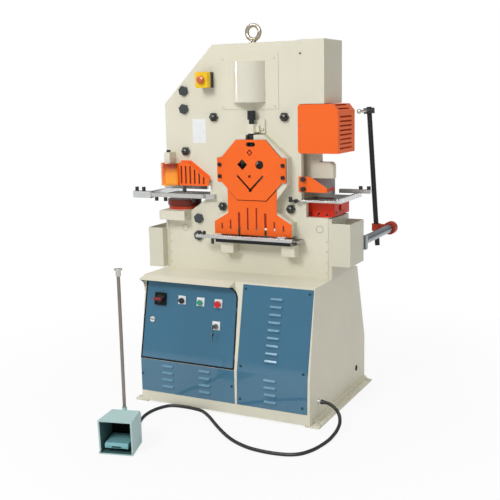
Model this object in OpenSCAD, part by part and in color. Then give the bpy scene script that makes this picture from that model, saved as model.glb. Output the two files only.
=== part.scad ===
// Hydraulic ironworker: a cabinet carries two thick frame plates with punching, shearing
// and notching stations. The front is -Y; the origin is on the floor between the anchors.

/* [Base cabinet] */
// Width of the cabinet over its side walls
base_w = 968; // [800:1:1200]
// Depth of the cabinet at the floor
base_d = 800; // [700:1:1000]
// Height of the cabinet's flat top above the floor
base_h = 680; // [600:1:850]
// Height at which the front and back walls start to lean inwards
knee_h = 240; // [180:1:300]
// How far the front wall leans back between the knee and the top
front_lean = 75; // [50:1:100]
// How far the back wall leans forward between the knee and the top
back_lean = 124; // [60:1:140]
// Thickness of the cabinet's sheet
sheet_t = 4; // [3:0.5:5]
// Thickness of the framed front wall
front_t = 9; // [8:0.5:12]
// Height of the skirt below the front panels
skirt_h = 64; // [50:1:90]
// Middle of the strip that parts the control door from the right panel
strip_x = 79; // [40:1:120]
// Width of that strip
strip_w = 11; // [8:1:20]
// Width of the strip at the cabinet's right corner
corner_strip = 14; // [8:1:30]
// Thickness of the blue panels and the door
panel_t = 3; // [2:0.5:4]
// How far the panels' edges drift to the right on the way up
face_skew = 14; // [0:1:20]
// Gap round each panel
panel_gap = 1; // [0.5:0.1:2]
// How far the door hood stands out in front of the wall
hood_out = 61; // [40:1:80]
// How far the hood's lip lies below the cabinet's top
hood_drop = 15; // [8:1:30]

/* [Floor rails] */
// Width of each floor rail
rail_w = 76; // [70:1:100]
// How far a rail reaches outside the side wall
rail_out = 46; // [40:1:60]
// Thickness of the rails
rail_t = 10; // [8:1:16]
// How much shorter the rails are than the cabinet is deep
rail_short = 8; // [0:1:40]
// Radius of the anchor holes
anchor_r = 8; // [5:0.5:9]
// Spacing of the anchor holes from front to back
anchor_dy = 740; // [600:1:760]
// Distance of the anchor holes outside the side walls
anchor_out = 32; // [30:1:36]

/* [Control door] */
// Height of the door's lower edge above the knee
door_low = 7; // [6:1:20]
// Length of the door up the leaning wall
door_h = 409; // [380:1:425]
// Radius of the door's upper right corner
door_r = 58; // [30:1:80]
// Width of the black gasket round the door
gasket_w = 6; // [4:0.5:8]
// Distance from the door's hinge side to its red push button
stop_in = 104; // [90:1:130]
// Spacing of the push buttons and the selector
button_step = 104; // [90:1:120]
// Height of the button row above the door's lower edge
button_up = 317; // [280:1:330]
// Radius of the button heads
button_r = 17; // [12:0.5:19]
// Travel of the push buttons
button_travel = 5; // [3:0.5:6]

/* [Machine frame] */
// Width of the two frame plates
frame_w = 928; // [850:1:960]
// How far the side covers stand outside the frame plates
side_out = 20; // [16:1:30]
// Depth of the machine frame over both plates
frame_d = 242; // [220:1:280]
// Distance of the frame's front face in front of the cabinet's middle
frame_front = 102; // [90:1:120]
// Thickness of each frame plate
plate_t = 30; // [25:1:40]
// Height of the frame plates above the cabinet
frame_h = 1179; // [1120:1:1250]
// Width of the cut-off upper left corner
chamfer_w = 295; // [250:1:300]
// Height of the cut-off upper left corner
chamfer_h = 294; // [250:1:300]
// Height of the punching station's bolster ledge above the cabinet
punch_ledge_h = 270; // [250:1:290]
// Height of the upper edge of the punching throat above the cabinet
jaw_h = 540; // [520:1:560]
// Depth of the punching throat from the frame's left edge
throat_d = 264; // [240:1:280]
// Height of the notching station's ledge above the cabinet
notch_ledge_h = 310; // [300:1:320]
// Width that the notching throat takes from the frame's right edge
notch_throat_w = 142; // [130:1:150]
// Radius of the tie bolts
tie_r = 12; // [8:0.5:14]

/* [Stations] */
// Distance of the punch axis from the frame's left edge
punch_in = 60; // [55:1:70]
// Distance of the punch axis in front of the beam's middle plane
punch_fwd = 30; // [25:1:35]
// Middle of the shearing station
shear_x = 73; // [60:1:80]
// Distance of the notching station's middle from the frame's right edge
notch_in = 62; // [58:1:66]
// Thickness of the moving tool beam
beam_t = 44; // [36:1:50]
// Working stroke of the tool beam
stroke = 40; // [30:1:40]
// Radius of the punch ram
ram_r = 28; // [24:1:30]
// Radius of the die holder
die_r = 92; // [80:1:100]
// Middle of the hydraulic cylinder
cyl_x = 41; // [30:1:50]
// Radius of the hydraulic cylinder
cyl_r = 82; // [75:1:84]

/* [Guards] */
// Thickness of the guard sheets
guard_t = 4; // [3:0.5:5]
// Depth of the cream housing behind the octagonal guard
housing_d = 58; // [50:1:70]
// Wall of the housing
housing_t = 8; // [6:1:12]
// Half of the octagonal guard's width
octagon_w = 172; // [165:1:180]
// Height of the octagonal guard
octagon_h = 306; // [290:1:320]
// Width of the notching cover
cover_w = 213; // [200:1:230]
// Depth of the notching cover
cover_d = 236; // [220:1:250]
// Height of the notching cover
cover_h = 241; // [220:1:250]

/* [Tables] */
// Thickness of the steel work tables
table_t = 12; // [10:1:16]
// Height of the side tables' upper faces above the cabinet
side_table_h = 398; // [392:1:404]
// Height of the centre table's upper face above the cabinet
mid_table_h = 198; // [190:1:202]
// Width of the gauge rails
gauge_w = 22; // [18:1:26]

/* [Scrap bins] */
// Depth of each bin
bin_d = 200; // [150:1:220]
// Width of the right bin
right_bin_w = 97; // [80:1:120]
// Width of the left bin
left_bin_w = 88; // [70:1:100]
// Height of the bins
bin_h = 216; // [160:1:230]
// Sheet of the bins
bin_t = 2.5; // [2:0.5:4]

/* [Length stop] */
// Distance of the stop bar outside the frame's side cover
stop_out = 72; // [60:1:90]
// Height of the stop bar above the cabinet
stop_h = 160; // [140:1:180]
// Radius of the stop bar
stop_bar_r = 23; // [18:1:26]
// Length of the stop bar
stop_bar_l = 560; // [450:1:700]
// Radius of the upright post
post_r = 14; // [10:1:18]
// Length of the upright post
post_l = 790; // [600:1:900]
// Sideways lean of the post, in degrees
post_lean = 4; // [0:0.5:4]

/* [Foot switch] */
// Width of the foot switch
pedal_w = 164; // [150:1:200]
// Width of the foot switch at its back
pedal_back_w = 134; // [110:1:180]
// Depth of the foot switch
pedal_d = 165; // [150:1:200]
// Height of the foot switch's hood
pedal_h = 160; // [140:1:180]
// Wall of the cast hood
pedal_wall = 6; // [4:0.5:8]
// Turn of the foot switch on the floor, in degrees
pedal_turn = 14; // [0:1:30]
// Length of the carrying rod
rod_l = 650; // [400:1:800]
// Radius of the carrying rod
rod_r = 8; // [6:0.5:10]
// Radius of the black cable
cable_r = 8.5; // [6:0.5:10]

/* [Hidden] */

$fn = 48;
cream = "#DEDACA";
blue = "#447891";
orange = "#F4701F";
dark_red = "#8E241C";
black = "#1B1C1E";
eps = 0.01;                         // overlap that keeps cuts clean

// Cabinet: the leaning front wall has its own plane, reached with on_face()
half_w = base_w/2;
rail_l = base_d - rail_short;
front_y = -base_d/2;
lean_a = atan(front_lean/(base_h - knee_h));
face_l = (base_h - knee_h)/cos(lean_a);
strip_l = strip_x - strip_w/2;      // left edge of the strip
strip_r = strip_x + strip_w/2;      // right edge of the strip
panel_top = face_l - 8;             // panels end a fold's width below the top
ledge_w = 14;                       // bearing ledge behind a panel's edge
pocket_d = panel_t + 3;             // pocket for the door and its gasket
door_x0 = -half_w + gasket_w - 2;   // door's left edge
door_x1 = strip_l - gasket_w;       // door's right edge
door_top = door_low + door_h;
button_z = door_low + button_up;
stop_x = door_x1 - stop_in;
start_x = stop_x - button_step;
selector_x = start_x - button_step - 6;
switch_x = selector_x - 127;
key_z = button_z - 113;
lock_x = door_x0 + 58;
lock_z = key_z + 1;
legend_s = 44;                      // side of the square legend plates
legend_t = 1.5;

// Frame planes
y_front = -frame_front;             // outer face of the front plate
y_back = y_front + frame_d;         // outer face of the rear plate
y_in0 = y_front + plate_t;          // inner faces of the two plates
y_in1 = y_back - plate_t;
beam_y = 0;                         // middle plane of the moving tools
hw = frame_w/2;
z_base = base_h;
z_top = base_h + frame_h;
z_punch_ledge = base_h + punch_ledge_h;
z_jaw = base_h + jaw_h;
z_notch_ledge = base_h + notch_ledge_h;
x_throat = -hw + throat_d;
x_notch = hw - notch_throat_w;      // frame's right edge above the notching throat
punch_x = -hw + punch_in;
punch_y = beam_y - punch_fwd;
notch_x = hw - notch_in;
bolster_h = 50;
bolster_w = 156;
z_bolster = z_punch_ledge + bolster_h;
side_table_z = base_h + side_table_h;
mid_table_z = base_h + mid_table_h;

// Tie bolts: flat hexagons beside the punch, domed nuts round the shear
hex_at = [[punch_x + 60, z_top - 230], [punch_x + 59, z_top - 324],
  [punch_x + 131, z_punch_ledge + 8], [punch_x + 127, z_punch_ledge - 85]];
dome_at = [[shear_x - 239, z_top - 367], [shear_x + 163, z_top - 369],
  [punch_x + 63, z_jaw + 94], [shear_x - 198, z_base + 348], [shear_x + 193, z_base + 349]];
tube_r = tie_r + 10;

// Shearing station, relative to its middle
z_skirt = base_h + 212;             // lower edge of the skirt guard
z_neck = z_skirt + 110;             // where the neck widens into the skirt
z_oct = z_skirt + 182;              // lower edge of the octagonal guard
z_oct_top = z_oct + octagon_h;
z_mid = (z_oct + z_oct_top)/2;
neck_w = 139;
skirt_w = 219;
skirt_up = 64;
ear_out = 22;
ear_h = 126;
window_w = 110;                     // half width of the plates' shear window
window_z0 = mid_table_z - 6;
window_z1 = z_oct_top - 20;
y_housing = y_front - housing_d;    // front face of the housing
slot_n = 8;
slot_step = 50;

// Cylinder and beam
cyl_z0 = z_top - 305;
cyl_z1 = z_top - 100;
rod_radius = 30;
beam_top = z_base + 770;
beam_arm = 66;                      // height of the beam's two arms
beam_low = window_z0 + 64;
beam_w = 133;                       // half width of the beam's middle

// Notching station
ram_x0 = notch_x - 84;
ram_x1 = notch_x + 58;
ram_low = z_notch_ledge + 190;
cover_x0 = x_notch - 15;
cover_x1 = cover_x0 + cover_w;
cover_z0 = z_top - 549;
cover_z1 = cover_z0 + cover_h;
die_x0 = notch_x - 74;
die_x1 = notch_x + 74;
die_y0 = beam_y - 44;
die_h = side_table_z - table_t - z_notch_ledge;
blade_x0 = notch_x - 56;
blade_x1 = notch_x + 53;

// Column box beside the frame
box_x0 = x_notch - 17;
box_x1 = x_notch + 125;
box_z0 = z_top - 306;
box_z1 = z_top + 4;
box_t = 3;

// Bins and side covers
side_t = 4;
cover_in = 1;                       // gap between plate edge and side cover flange
x_side = hw + side_out;             // outer face of the side covers
bin_z_r = z_base + 68;
bin_z_l = z_base + 4;
bin_fwd_l = 41;

// Length stop
stop_x0 = x_side + stop_out;
stop_y0 = y_front + bin_d + 6;
stop_z = z_base + stop_h;
stop_y1 = stop_y0 + stop_bar_l;
post_x = stop_x0 - 84;
post_y = stop_y1 - 30;
post_below = 105;                   // length of the post below the bar

// Foot switch
pedal_x = -222;
pedal_y = -967;
rod_at = [-8, pedal_d/2 - 13];      // rod on the hood, in the switch's own frame
treadle_y = pedal_d/2 - 38;         // treadle pivot, in the switch's own frame
treadle_z = 34;

// Cable from the foot switch to the gland
gland_y = front_y + 110;
gland_z = 101;
gland_l = 34;
cable_z = cable_r + 0.5;
switch_z = 32;                      // height of the cable at the foot switch
function pedal_out(l) = [pedal_x - (pedal_d/2 + l)*sin(pedal_turn), pedal_y + (pedal_d/2 + l)*cos(pedal_turn)];
cable_route = [
  [pedal_out(gland_l)[0], pedal_out(gland_l)[1], switch_z],
  [pedal_out(gland_l + 34)[0], pedal_out(gland_l + 34)[1], switch_z - 3], [-280, -764, 18],
  [-306, -702, cable_z], [-330, -640, cable_z],
  [-342, -580, cable_z], [-340, -520, cable_z], [-326, -472, cable_z], [-300, -430, cable_z],
  [-262, -415, cable_z], [-210, -411, cable_z], [-158, -414, cable_z], [-102, -428, cable_z],
  [-38, -476, cable_z], [20, -532, cable_z], [74, -584, cable_z], [130, -634, cable_z],
  [190, -682, cable_z], [250, -718, cable_z], [320, -746, cable_z], [390, -757, cable_z],
  [460, -756, cable_z], [524, -742, cable_z], [570, -710, cable_z], [602, -650, cable_z],
  [619, -580, cable_z], [627, -510, cable_z], [629, -440, 15], [628, -398, 24], [624, -366, 34],
  [617, -343, 44], [608, -326, 57], [594, -311, 70], [578, -300, 80], [560, -294, 90],
  [540, -291, 98], [half_w + gland_l, gland_y, gland_z]];

// ---------------- helpers

// Box between two corners
module box(x0, x1, y0, y1, z0, z1)
  translate([x0, y0, z0]) cube([x1 - x0, y1 - y0, z1 - z0]);

// Outline drawn in X and Z, given depth along Y
module deep(y0, y1)
  translate([0, y1, 0]) rotate([90, 0, 0]) linear_extrude(y1 - y0) children();

// Outline drawn in Y and Z, given width along X
module wide(x0, x1)
  translate([x0, 0, 0]) rotate([90, 0, 90]) linear_extrude(x1 - x0) children();

// Round bar along Y
module y_bar(x, z, y0, y1, r)
  translate([x, y1, z]) rotate([90, 0, 0]) cylinder(h = y1 - y0, r = r);

// Round bar along X
module x_bar(y, z, x0, x1, r)
  translate([x0, y, z]) rotate([0, 90, 0]) cylinder(h = x1 - x0, r = r);

// Rectangle with rounded corners, from its two corners
module round_rect(x0, x1, y0, y1, r) {
  translate([x0 + r, y0]) square([x1 - x0 - 2*r, y1 - y0]);
  translate([x0, y0 + r]) square([x1 - x0, y1 - y0 - 2*r]);
  for (x = [x0 + r, x1 - r], y = [y0 + r, y1 - r]) translate([x, y]) circle(r);
}

// Moves children onto the leaning front wall: x across, s up the slope, out outwards
module on_face(x = 0, s = 0, out = 0)
  translate([0, front_y, knee_h]) rotate([90 - lean_a, 0, 0]) translate([x, s, out]) children();

// Points of the front wall's profile at a depth d inside its outer face
function knee_at(d) = [front_y + d, knee_h - d*tan(lean_a/2)];
function slope_at(s, d) = [front_y + s*sin(lean_a) + d*cos(lean_a), knee_h + s*cos(lean_a) - d*sin(lean_a)];

// Layer of the front wall between two depths, from height z0 to slope length s1
module front_layer(x0, x1, z0, s1, d0, d1)
  wide(x0, x1) polygon([[front_y + d0, z0], knee_at(d0), slope_at(s1, d0), slope_at(s1, d1),
    knee_at(d1), [front_y + d1, z0]]);

// Outline of the right panel, whose sides drift to the right, cut back by g
module right_panel_outline(g) deep(front_y - 40, front_y + 140) polygon([[right_panel_x0 + g, 0],
  [right_panel_x1 + g, 0], [right_panel_x1 - g, skirt_h], [right_panel_x1 + face_skew - 4 - g, base_h],
  [right_panel_x0 + face_skew + g, base_h], [right_panel_x0 + g, skirt_h]]);

// Layer of the upright part of the front wall
module skirt_layer(x0, x1, z0, z1, d0, d1) box(x0, x1, front_y + d0, front_y + d1, z0, z1);

// One pressed louver, opening downwards, on a face whose outside is +Z
louver_w = 64;
louver_h = 14;
louver_out = 7;
module louver()
  rotate([90, 0, 90]) translate([0, 0, -louver_w/2]) linear_extrude(louver_w)
    polygon([[-louver_h/2, 0], [-louver_h/2, louver_out], [-louver_h/6, louver_out], [louver_h/2, 0]]);
module louver_slot() translate([-louver_w/2 + 2, -louver_h/2 + 1, -10]) cube([louver_w - 4, louver_h/3, 10.5]);

// Socket or pan head screw with its axis along +Z, head on z = 0
module screw(head_r, head_h, shank_r, shank_l) {
  difference() {
    cylinder(h = head_h, r = head_r, $fn = 24);
    translate([0, 0, head_h/2]) cylinder(h = head_h, r = head_r*0.45, $fn = 6);
  }
  translate([0, 0, -shank_l]) cylinder(h = shank_l + eps, r = shank_r, $fn = 16);
}

// Turns children from +Z so that they face the front
module face_front(x, y, z) translate([x, y, z]) rotate([90, 0, 0]) children();

// ---------------- cabinet

function cabinet_outline(t) = [[front_y, rail_t], [front_y, knee_h], [front_y + front_lean, base_h],
  [-front_y - back_lean, base_h], [-front_y, knee_h + 20], [-front_y, rail_t]];

left_panel_x1 = strip_l;
right_panel_x0 = strip_r;
right_panel_x1 = half_w - corner_strip;
left_panel_z1 = knee_h + 4;

module base_cabinet() color(cream) {
  door_hood();
  difference() {
    wide(-half_w, half_w) polygon(cabinet_outline(0));
    // hollow inside, open at the floor
    wide(-half_w + sheet_t, half_w - sheet_t) polygon([[front_y + front_t, 0], knee_at(front_t),
      slope_at(face_l - sheet_t*1.2, front_t), [-front_y - back_lean - sheet_t, base_h - sheet_t],
      [-front_y - sheet_t, knee_h + 20], [-front_y - sheet_t, 0]]);
    // openings behind the panels and the door
    skirt_layer(-half_w + ledge_w, left_panel_x1 - ledge_w, skirt_h + ledge_w,
      left_panel_z1 - ledge_w - 8, -1, front_t + 1);
    intersection() {
      front_layer(right_panel_x0, half_w - sheet_t, skirt_h + ledge_w, panel_top - ledge_w, -1, front_t + 1);
      right_panel_outline(ledge_w);
    }
    on_face(0, 0, -front_t - 1) linear_extrude(front_t + 2)
      round_rect(door_x0 + ledge_w, door_x1 - ledge_w, door_low + ledge_w, door_top - ledge_w, door_r - ledge_w);
    // pockets that the panels, the door and its gasket lie in
    skirt_layer(-half_w - 1, left_panel_x1, skirt_h, knee_h, -1, panel_t + 0.3);
    intersection() {
      front_layer(right_panel_x0, half_w - 1, skirt_h, panel_top, -1, panel_t + 0.3);
      right_panel_outline(0);
    }
    on_face(0, 0, -pocket_d) linear_extrude(pocket_d + 1) door_outline(gasket_w);
    on_face(0, 0, -pocket_d) linear_extrude(pocket_d + 1)
      translate([-half_w - 1, door_low - gasket_w]) square([half_w + door_x0, door_h + gasket_w]);
    // cable gland, drain slot and the hole for the pressure pipe
    x_bar(gland_y, gland_z, half_w - sheet_t - 1, half_w + 1, cable_r + 4);
    x_bar(-front_y - 136, gland_z + 7, half_w - sheet_t - 1, half_w + 1, 12);
    translate([pipe_x, pipe_y, base_h - sheet_t - 1]) cylinder(h = sheet_t + 2, r = pipe_r + 6);
    panel_screw_places() translate([0, 0, -front_t - 2]) cylinder(h = front_t + 3, r = 2.7, $fn = 16);
  }
}

module floor_rails() color(cream)
  for (side = [-1, 1]) difference() {
    union() {
      box_side(side, half_w + rail_out - rail_w, half_w + rail_out, -rail_l/2, rail_l/2, 0, rail_t);
      box_side(side, half_w + eps, half_w + 12, -rail_l/2 + 40, rail_l/2, rail_t - eps, rail_t + 16);
      box_side(side, half_w + 12 - eps, half_w + 20, -rail_l/2 + 40, rail_l/2, rail_t - eps, rail_t + 7);
      // washer pads welded round the anchor holes
      for (end = [-1, 1]) translate([side*(half_w + anchor_out), end*anchor_dy/2, rail_t - eps])
        cylinder(h = 3, r = anchor_r + 4);
    }
    for (end = [-1, 1]) translate([side*(half_w + anchor_out), end*anchor_dy/2, -1])
      cylinder(h = rail_t + 5, r = anchor_r);
  }
// Box on one side of the machine: side is -1 for the left, 1 for the right
module box_side(side, x0, x1, y0, y1, z0, z1)
  box(side > 0 ? x0 : -x1, side > 0 ? x1 : -x0, y0, y1, z0, z1);

// Door outline, grown by g on every side
module door_outline(g)
  difference() {
    polygon([[door_x0 - g, door_low - g], [door_x1 + g, door_low - g], [door_x1 + g, door_top + g],
      [door_x0 + face_skew - g, door_top + g]]);
    translate([door_x1 - door_r, door_top - door_r]) difference() {
      square([door_r + g + 1, door_r + g + 1]);
      circle(door_r + g);
    }
  }

hood_x1 = door_x1 - 18;
module door_hood() {
  wide(-half_w, hood_x1) polygon([slope_at(face_l, -eps), [front_y + front_lean - hood_out, base_h - hood_drop],
    [front_y + front_lean - hood_out, base_h - hood_drop - sheet_t], slope_at(face_l - sheet_t, -eps)]);
  // small gusset clear of the door's swing, and a cheek with a hollow front edge
  wide(hood_x1 - sheet_t, hood_x1) polygon([slope_at(face_l - sheet_t, -eps),
    [front_y + front_lean - hood_out, base_h - hood_drop - sheet_t + eps], slope_at(door_top + 4, -eps)]);
  wide(-half_w, -half_w + sheet_t) difference() {
    polygon([slope_at(face_l - sheet_t, -eps), [front_y + front_lean - hood_out, base_h - hood_drop - sheet_t + eps],
      [front_y - 20, base_h - hood_out - 30], slope_at(face_l - hood_out - 24, -eps)]);
    translate([front_y + 2, base_h - hood_drop - hood_out - 2]) circle(hood_out - 3);
    translate([front_y - 100, base_h - 180]) square([102, 180 - hood_drop - sheet_t - hood_out + 2]);
  }
}

// Screws of the two panels: children are placed with +Z outwards, at the panel's surface
screw_in = 16;
module panel_screw_places() {
  for (x = [right_panel_x0 + screw_in + 3, right_panel_x1 - screw_in - 10])
    face_front(x, front_y, skirt_h + 32) children();
  for (x = [right_panel_x0 + screw_in + 8, right_panel_x1 - screw_in - 5]) on_face(x, 28, 0) children();
  for (x = [right_panel_x0 + screw_in + 14, right_panel_x1 - screw_in + 5]) on_face(x, panel_top - 22, 0) children();
  for (x = [-half_w + 8, left_panel_x1 - screw_in]) face_front(x, front_y, knee_h - 84) children();
}
module panel_screws() color("#2E5D73") panel_screw_places() screw(6, 3, 2.5, front_t);

module panel_holes() panel_screw_places() translate([0, 0, -front_t]) cylinder(h = front_t + 2, r = 2.7, $fn = 16);

lower_louver_z = [for (i = [0:3]) knee_h - 28 - i*37];
module lower_left_panel() color(blue)
  difference() {
    union() {
      skirt_layer(-half_w, left_panel_x1 - panel_gap, skirt_h + panel_gap, knee_h, 0, panel_t);
      for (x = left_louver_x, z = lower_louver_z) face_front(x, front_y + eps, z) louver();
    }
    for (x = left_louver_x, z = lower_louver_z) face_front(x, front_y, z) louver_slot();
    panel_holes();
  }
left_louver_x = [-half_w + 164, -half_w + 383];
right_louver_x = (right_panel_x0 + right_panel_x1)/2 - 7;
function upper_louver_x(i) = right_louver_x + face_skew*(i + 1)/8;
module right_front_panel() color(blue)
  difference() {
    union() {
      intersection() {
        front_layer(right_panel_x0, half_w - 1, skirt_h + panel_gap, panel_top - panel_gap, 0, panel_t);
        right_panel_outline(panel_gap);
      }
      for (z = lower_louver_z) face_front(right_louver_x, front_y + eps, z) louver();
      for (i = [0:8]) on_face(upper_louver_x(i), 68 + i*38.5, -eps) louver();
    }
    for (z = lower_louver_z) face_front(right_louver_x, front_y, z) louver_slot();
    for (i = [0:8]) on_face(upper_louver_x(i), 68 + i*38.5, 0) louver_slot();
    panel_holes();
  }

// ---------------- control door

module door_gasket() color(black) difference() {
  on_face() {
    translate([0, 0, -pocket_d]) linear_extrude(pocket_d - 0.5) difference() {
      door_outline(gasket_w);
      door_outline(0.7);
    }
    translate([0, 0, -pocket_d]) linear_extrude(pocket_d - panel_t - 0.6) difference() {
      door_outline(0.8);
      door_outline(-8);
    }
  }
  // notches for the hinges
  for (s = hinge_s) on_face(door_x1 - 9, s - 1.5*knuckle - 0.5, -pocket_d + 2) cube([30, 3*knuckle + 1, 20]);
}

hinge_r = 2.8;
hinge_pin_r = 1.5;
hinge_fit = 0.05;
hinge_x = door_x1 + hinge_r + 0.3;  // hinge axis, level with the wall's face
hinge_s = [door_low + 62, door_top - 110];
knuckle = 18;
// Knuckle and leaf of a hinge: side is -1 for the door's leaf, 1 for the cabinet's
module knuckle_leaf(side, s0, s1) on_face(hinge_x, s0, 0) rotate([-90, 0, 0]) difference() {
  union() {
    cylinder(h = s1 - s0, r = hinge_r, $fn = 24);
    translate([side > 0 ? 0 : -hinge_r - 8, 0, 0]) cube([side > 0 ? strip_l - hinge_x : hinge_r + 8, panel_t, s1 - s0]);
  }
  translate([0, 0, -1]) cylinder(h = s1 - s0 + 2, r = hinge_pin_r + (side > 0 ? 0 : hinge_fit));
}
module door_hinges() color("#3A3A38") for (s = hinge_s) {
  knuckle_leaf(1, s - 1.5*knuckle, s - 0.5*knuckle - 0.3);
  knuckle_leaf(1, s + 0.5*knuckle + 0.3, s + 1.5*knuckle);
  on_face(hinge_x, s - 1.5*knuckle, 0) rotate([-90, 0, 0])
    cylinder(h = 3*knuckle, r = hinge_pin_r);
}

shaft_r = 11;                       // shafts of the buttons and knobs behind the door
shaft_l = 30;
shaft_gap = 0.4;
module control_door() color(blue) {
  difference() {
    union() {
      on_face(0, 0, -panel_t) linear_extrude(panel_t) door_outline(0);
      for (s = hinge_s) knuckle_leaf(-1, s - 0.5*knuckle, s + 0.5*knuckle);
    }
    for (x = [stop_x, start_x, selector_x]) on_face(x, button_z, -panel_t - 1)
      cylinder(h = panel_t + 2, r = shaft_r + shaft_gap);
    on_face(stop_x - 6, key_z, -panel_t - 1) cylinder(h = panel_t + 2, r = shaft_r + shaft_gap);
    on_face(switch_x, button_z, -panel_t - 1) cylinder(h = panel_t + 2, r = 8.4);
    on_face(lock_x, lock_z, -panel_t - 1) cylinder(h = panel_t + 2, r = 8.4);
  }
}

// Square white plates behind the buttons
module legend(x, s) on_face(x, s, 0) difference() {
  translate([-legend_s/2, -legend_s/2 + 4, eps]) cube([legend_s, legend_s, legend_t]);
  translate([0, 0, -1]) cylinder(h = 10, r = shaft_r + shaft_gap);
}
module legend_plates() color("#E6E8E6") {
  for (x = [stop_x, start_x, selector_x]) legend(x, button_z);
  legend(stop_x - 6, key_z);
}

// Push button: head outside, stem through the door
module button_head(x, s, r, tall) on_face(x, s, legend_t + button_travel + 1) {
  cylinder(h = tall, r = r);
  translate([0, 0, -shaft_l]) cylinder(h = shaft_l + eps, r = shaft_r);
}
module start_button() color("#2E8B57") button_head(start_x, button_z, button_r - 3, 8);
module stop_button() color("#C8202A") button_head(stop_x, button_z, button_r, 10);

// Knob that turns: a round base with a raised grip
module turn_knob(x, s, r) on_face(x, s, legend_t + 0.4) {
  cylinder(h = 10, r = r);
  translate([-r + 1, -4.5, 10 - eps]) cube([2*r - 2, 9, 10]);
  translate([0, 0, -shaft_l]) cylinder(h = shaft_l + eps, r = shaft_r);
}
module selector_knob() color(black) turn_knob(selector_x, button_z, button_r - 2);
module key_switch() color("#8C8F92") on_face(stop_x - 6, key_z, legend_t + 0.4) {
  cylinder(h = 9, r = button_r - 3);
  // the key in its lock, with a round bow
  translate([-1.2, -5, 9 - eps]) cube([2.4, 10, 16]);
  translate([-1.2, 0, 34]) rotate([0, 90, 0]) cylinder(h = 2.4, r = 11);
  // spare key hanging below on a short link
  translate([-1.2, -34, 30]) cube([2.4, 28, 5]);
  translate([-1.2, -40, 32]) rotate([0, 90, 0]) cylinder(h = 2.4, r = 11);
  translate([-1.2, -72, 29]) cube([2.4, 28, 6]);
  translate([0, 0, -shaft_l]) cylinder(h = shaft_l + eps, r = shaft_r);
}
module door_lock() color("#D8DADC") on_face(lock_x, lock_z, 0.3) difference() {
  union() {
    cylinder(h = 5, r = 15);
    translate([0, 0, -22]) cylinder(h = 22 + eps, r = 8);
    translate([-20, -6, -22]) cube([26, 12, 4]);
  }
  translate([-13, -2, 3]) cube([26, 4, 5]);
}

switch_s = 66;
module switch_plate() color(black) on_face(switch_x, button_z, eps) difference() {
  linear_extrude(12) round_rect(-switch_s/2, switch_s/2, -switch_s/2, switch_s/2, 4);
  translate([0, 0, -1]) cylinder(h = 20, r = 8.4);
}
module switch_handle() color("#B02028") on_face(switch_x, button_z, 12.4) {
  cylinder(h = 10, r = 20);
  translate([-26, -7, 10 - eps]) cube([44, 14, 14]);
  translate([0, 0, -40]) cylinder(h = 40 + eps, r = 8);
}

// ---------------- inside the cabinet

elec_y = front_y + 250;
elec_z0 = knee_h + 26;
module electrical_plate() color("#8E9398") {
  box(-half_w + sheet_t, strip_l, elec_y, elec_y + 3, elec_z0, base_h - sheet_t - 3);
  box(strip_l - 3, strip_l, front_y + front_lean + front_t + 4, elec_y + eps, elec_z0, base_h - sheet_t - 3);
  // contactors, terminal row and transformer
  for (i = [0:3]) box(-half_w + 60 + i*70, -half_w + 108 + i*70, elec_y - 84, elec_y, knee_h + 260, knee_h + 345);
  box(-half_w + 40, -half_w + 400, elec_y - 40, elec_y, knee_h + 80, knee_h + 120);
  box(-half_w + 60, -half_w + 170, elec_y - 90, elec_y, knee_h + 150, knee_h + 230);
}
tank_x0 = strip_r + 20;
tank_x1 = half_w - sheet_t - 24;
tank_y0 = front_y + 190;
tank_y1 = 180;
tank_z1 = 330;
tank_t = 4;
motor_r = 88;
motor_x = (tank_x0 + tank_x1)/2;
motor_y = (tank_y0 + tank_y1)/2;
module oil_tank() color("#8D9296") difference() {
  union() {
    box(tank_x0, tank_x1, tank_y0, tank_y1, 20, tank_z1);
    // feet that reach the cabinet's side wall and the floor
    box(tank_x0, half_w - sheet_t, tank_y0, tank_y0 + 40, rail_t + 6, 20 + eps);
    box(tank_x0, half_w - sheet_t, tank_y1 - 40, tank_y1, rail_t + 6, 20 + eps);
  }
  box(tank_x0 + tank_t, tank_x1 - tank_t, tank_y0 + tank_t, tank_y1 - tank_t, 20 + tank_t, tank_z1 - tank_t);
  translate([motor_x, motor_y, tank_z1 - tank_t - 1]) cylinder(h = tank_t + 2, r = 34);
}
module electric_motor() color("#4C7A8E") translate([motor_x, motor_y, tank_z1]) {
  cylinder(h = 12, r = motor_r + 10);
  translate([0, 0, 12 - eps]) cylinder(h = 200, r = motor_r);
  translate([0, 0, 212 - eps]) cylinder(h = 36, r = motor_r - 8);
  translate([motor_r - 12, -40, 60]) cube([44, 80, 70]);
  // pump below the lid, in the oil
  translate([0, 0, -150]) cylinder(h = 150 + eps, r = 32);
}
pipe_r = 9;
pipe_x = cyl_x + 128;
pipe_y = y_in1 - 26;
pipe_in = 46;                       // how far right of the barrel's middle the pipe enters
pipe_z0 = tank_z1;
pipe_z1 = cyl_z1 - 34;
module pressure_pipe() color("#6F7376") {
  box(pipe_x - 36, pipe_x + 36, pipe_y - 30, pipe_y + 30, tank_z1, tank_z1 + 56);
  translate([pipe_x, pipe_y, tank_z1 + 56 - eps]) cylinder(h = pipe_z1 - tank_z1 - 56 + eps, r = pipe_r);
  translate([pipe_x, pipe_y, pipe_z1]) sphere(r = pipe_r);
  x_bar(pipe_y, pipe_z1, cyl_x + pipe_in, pipe_x, pipe_r);
  translate([cyl_x + pipe_in, pipe_y, pipe_z1]) sphere(r = pipe_r);
  y_bar(cyl_x + pipe_in, pipe_z1, sqrt(pow(cyl_r, 2) - pow(pipe_in - pipe_r, 2)) + 0.3, pipe_y, pipe_r);
}

// ---------------- machine frame

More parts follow.
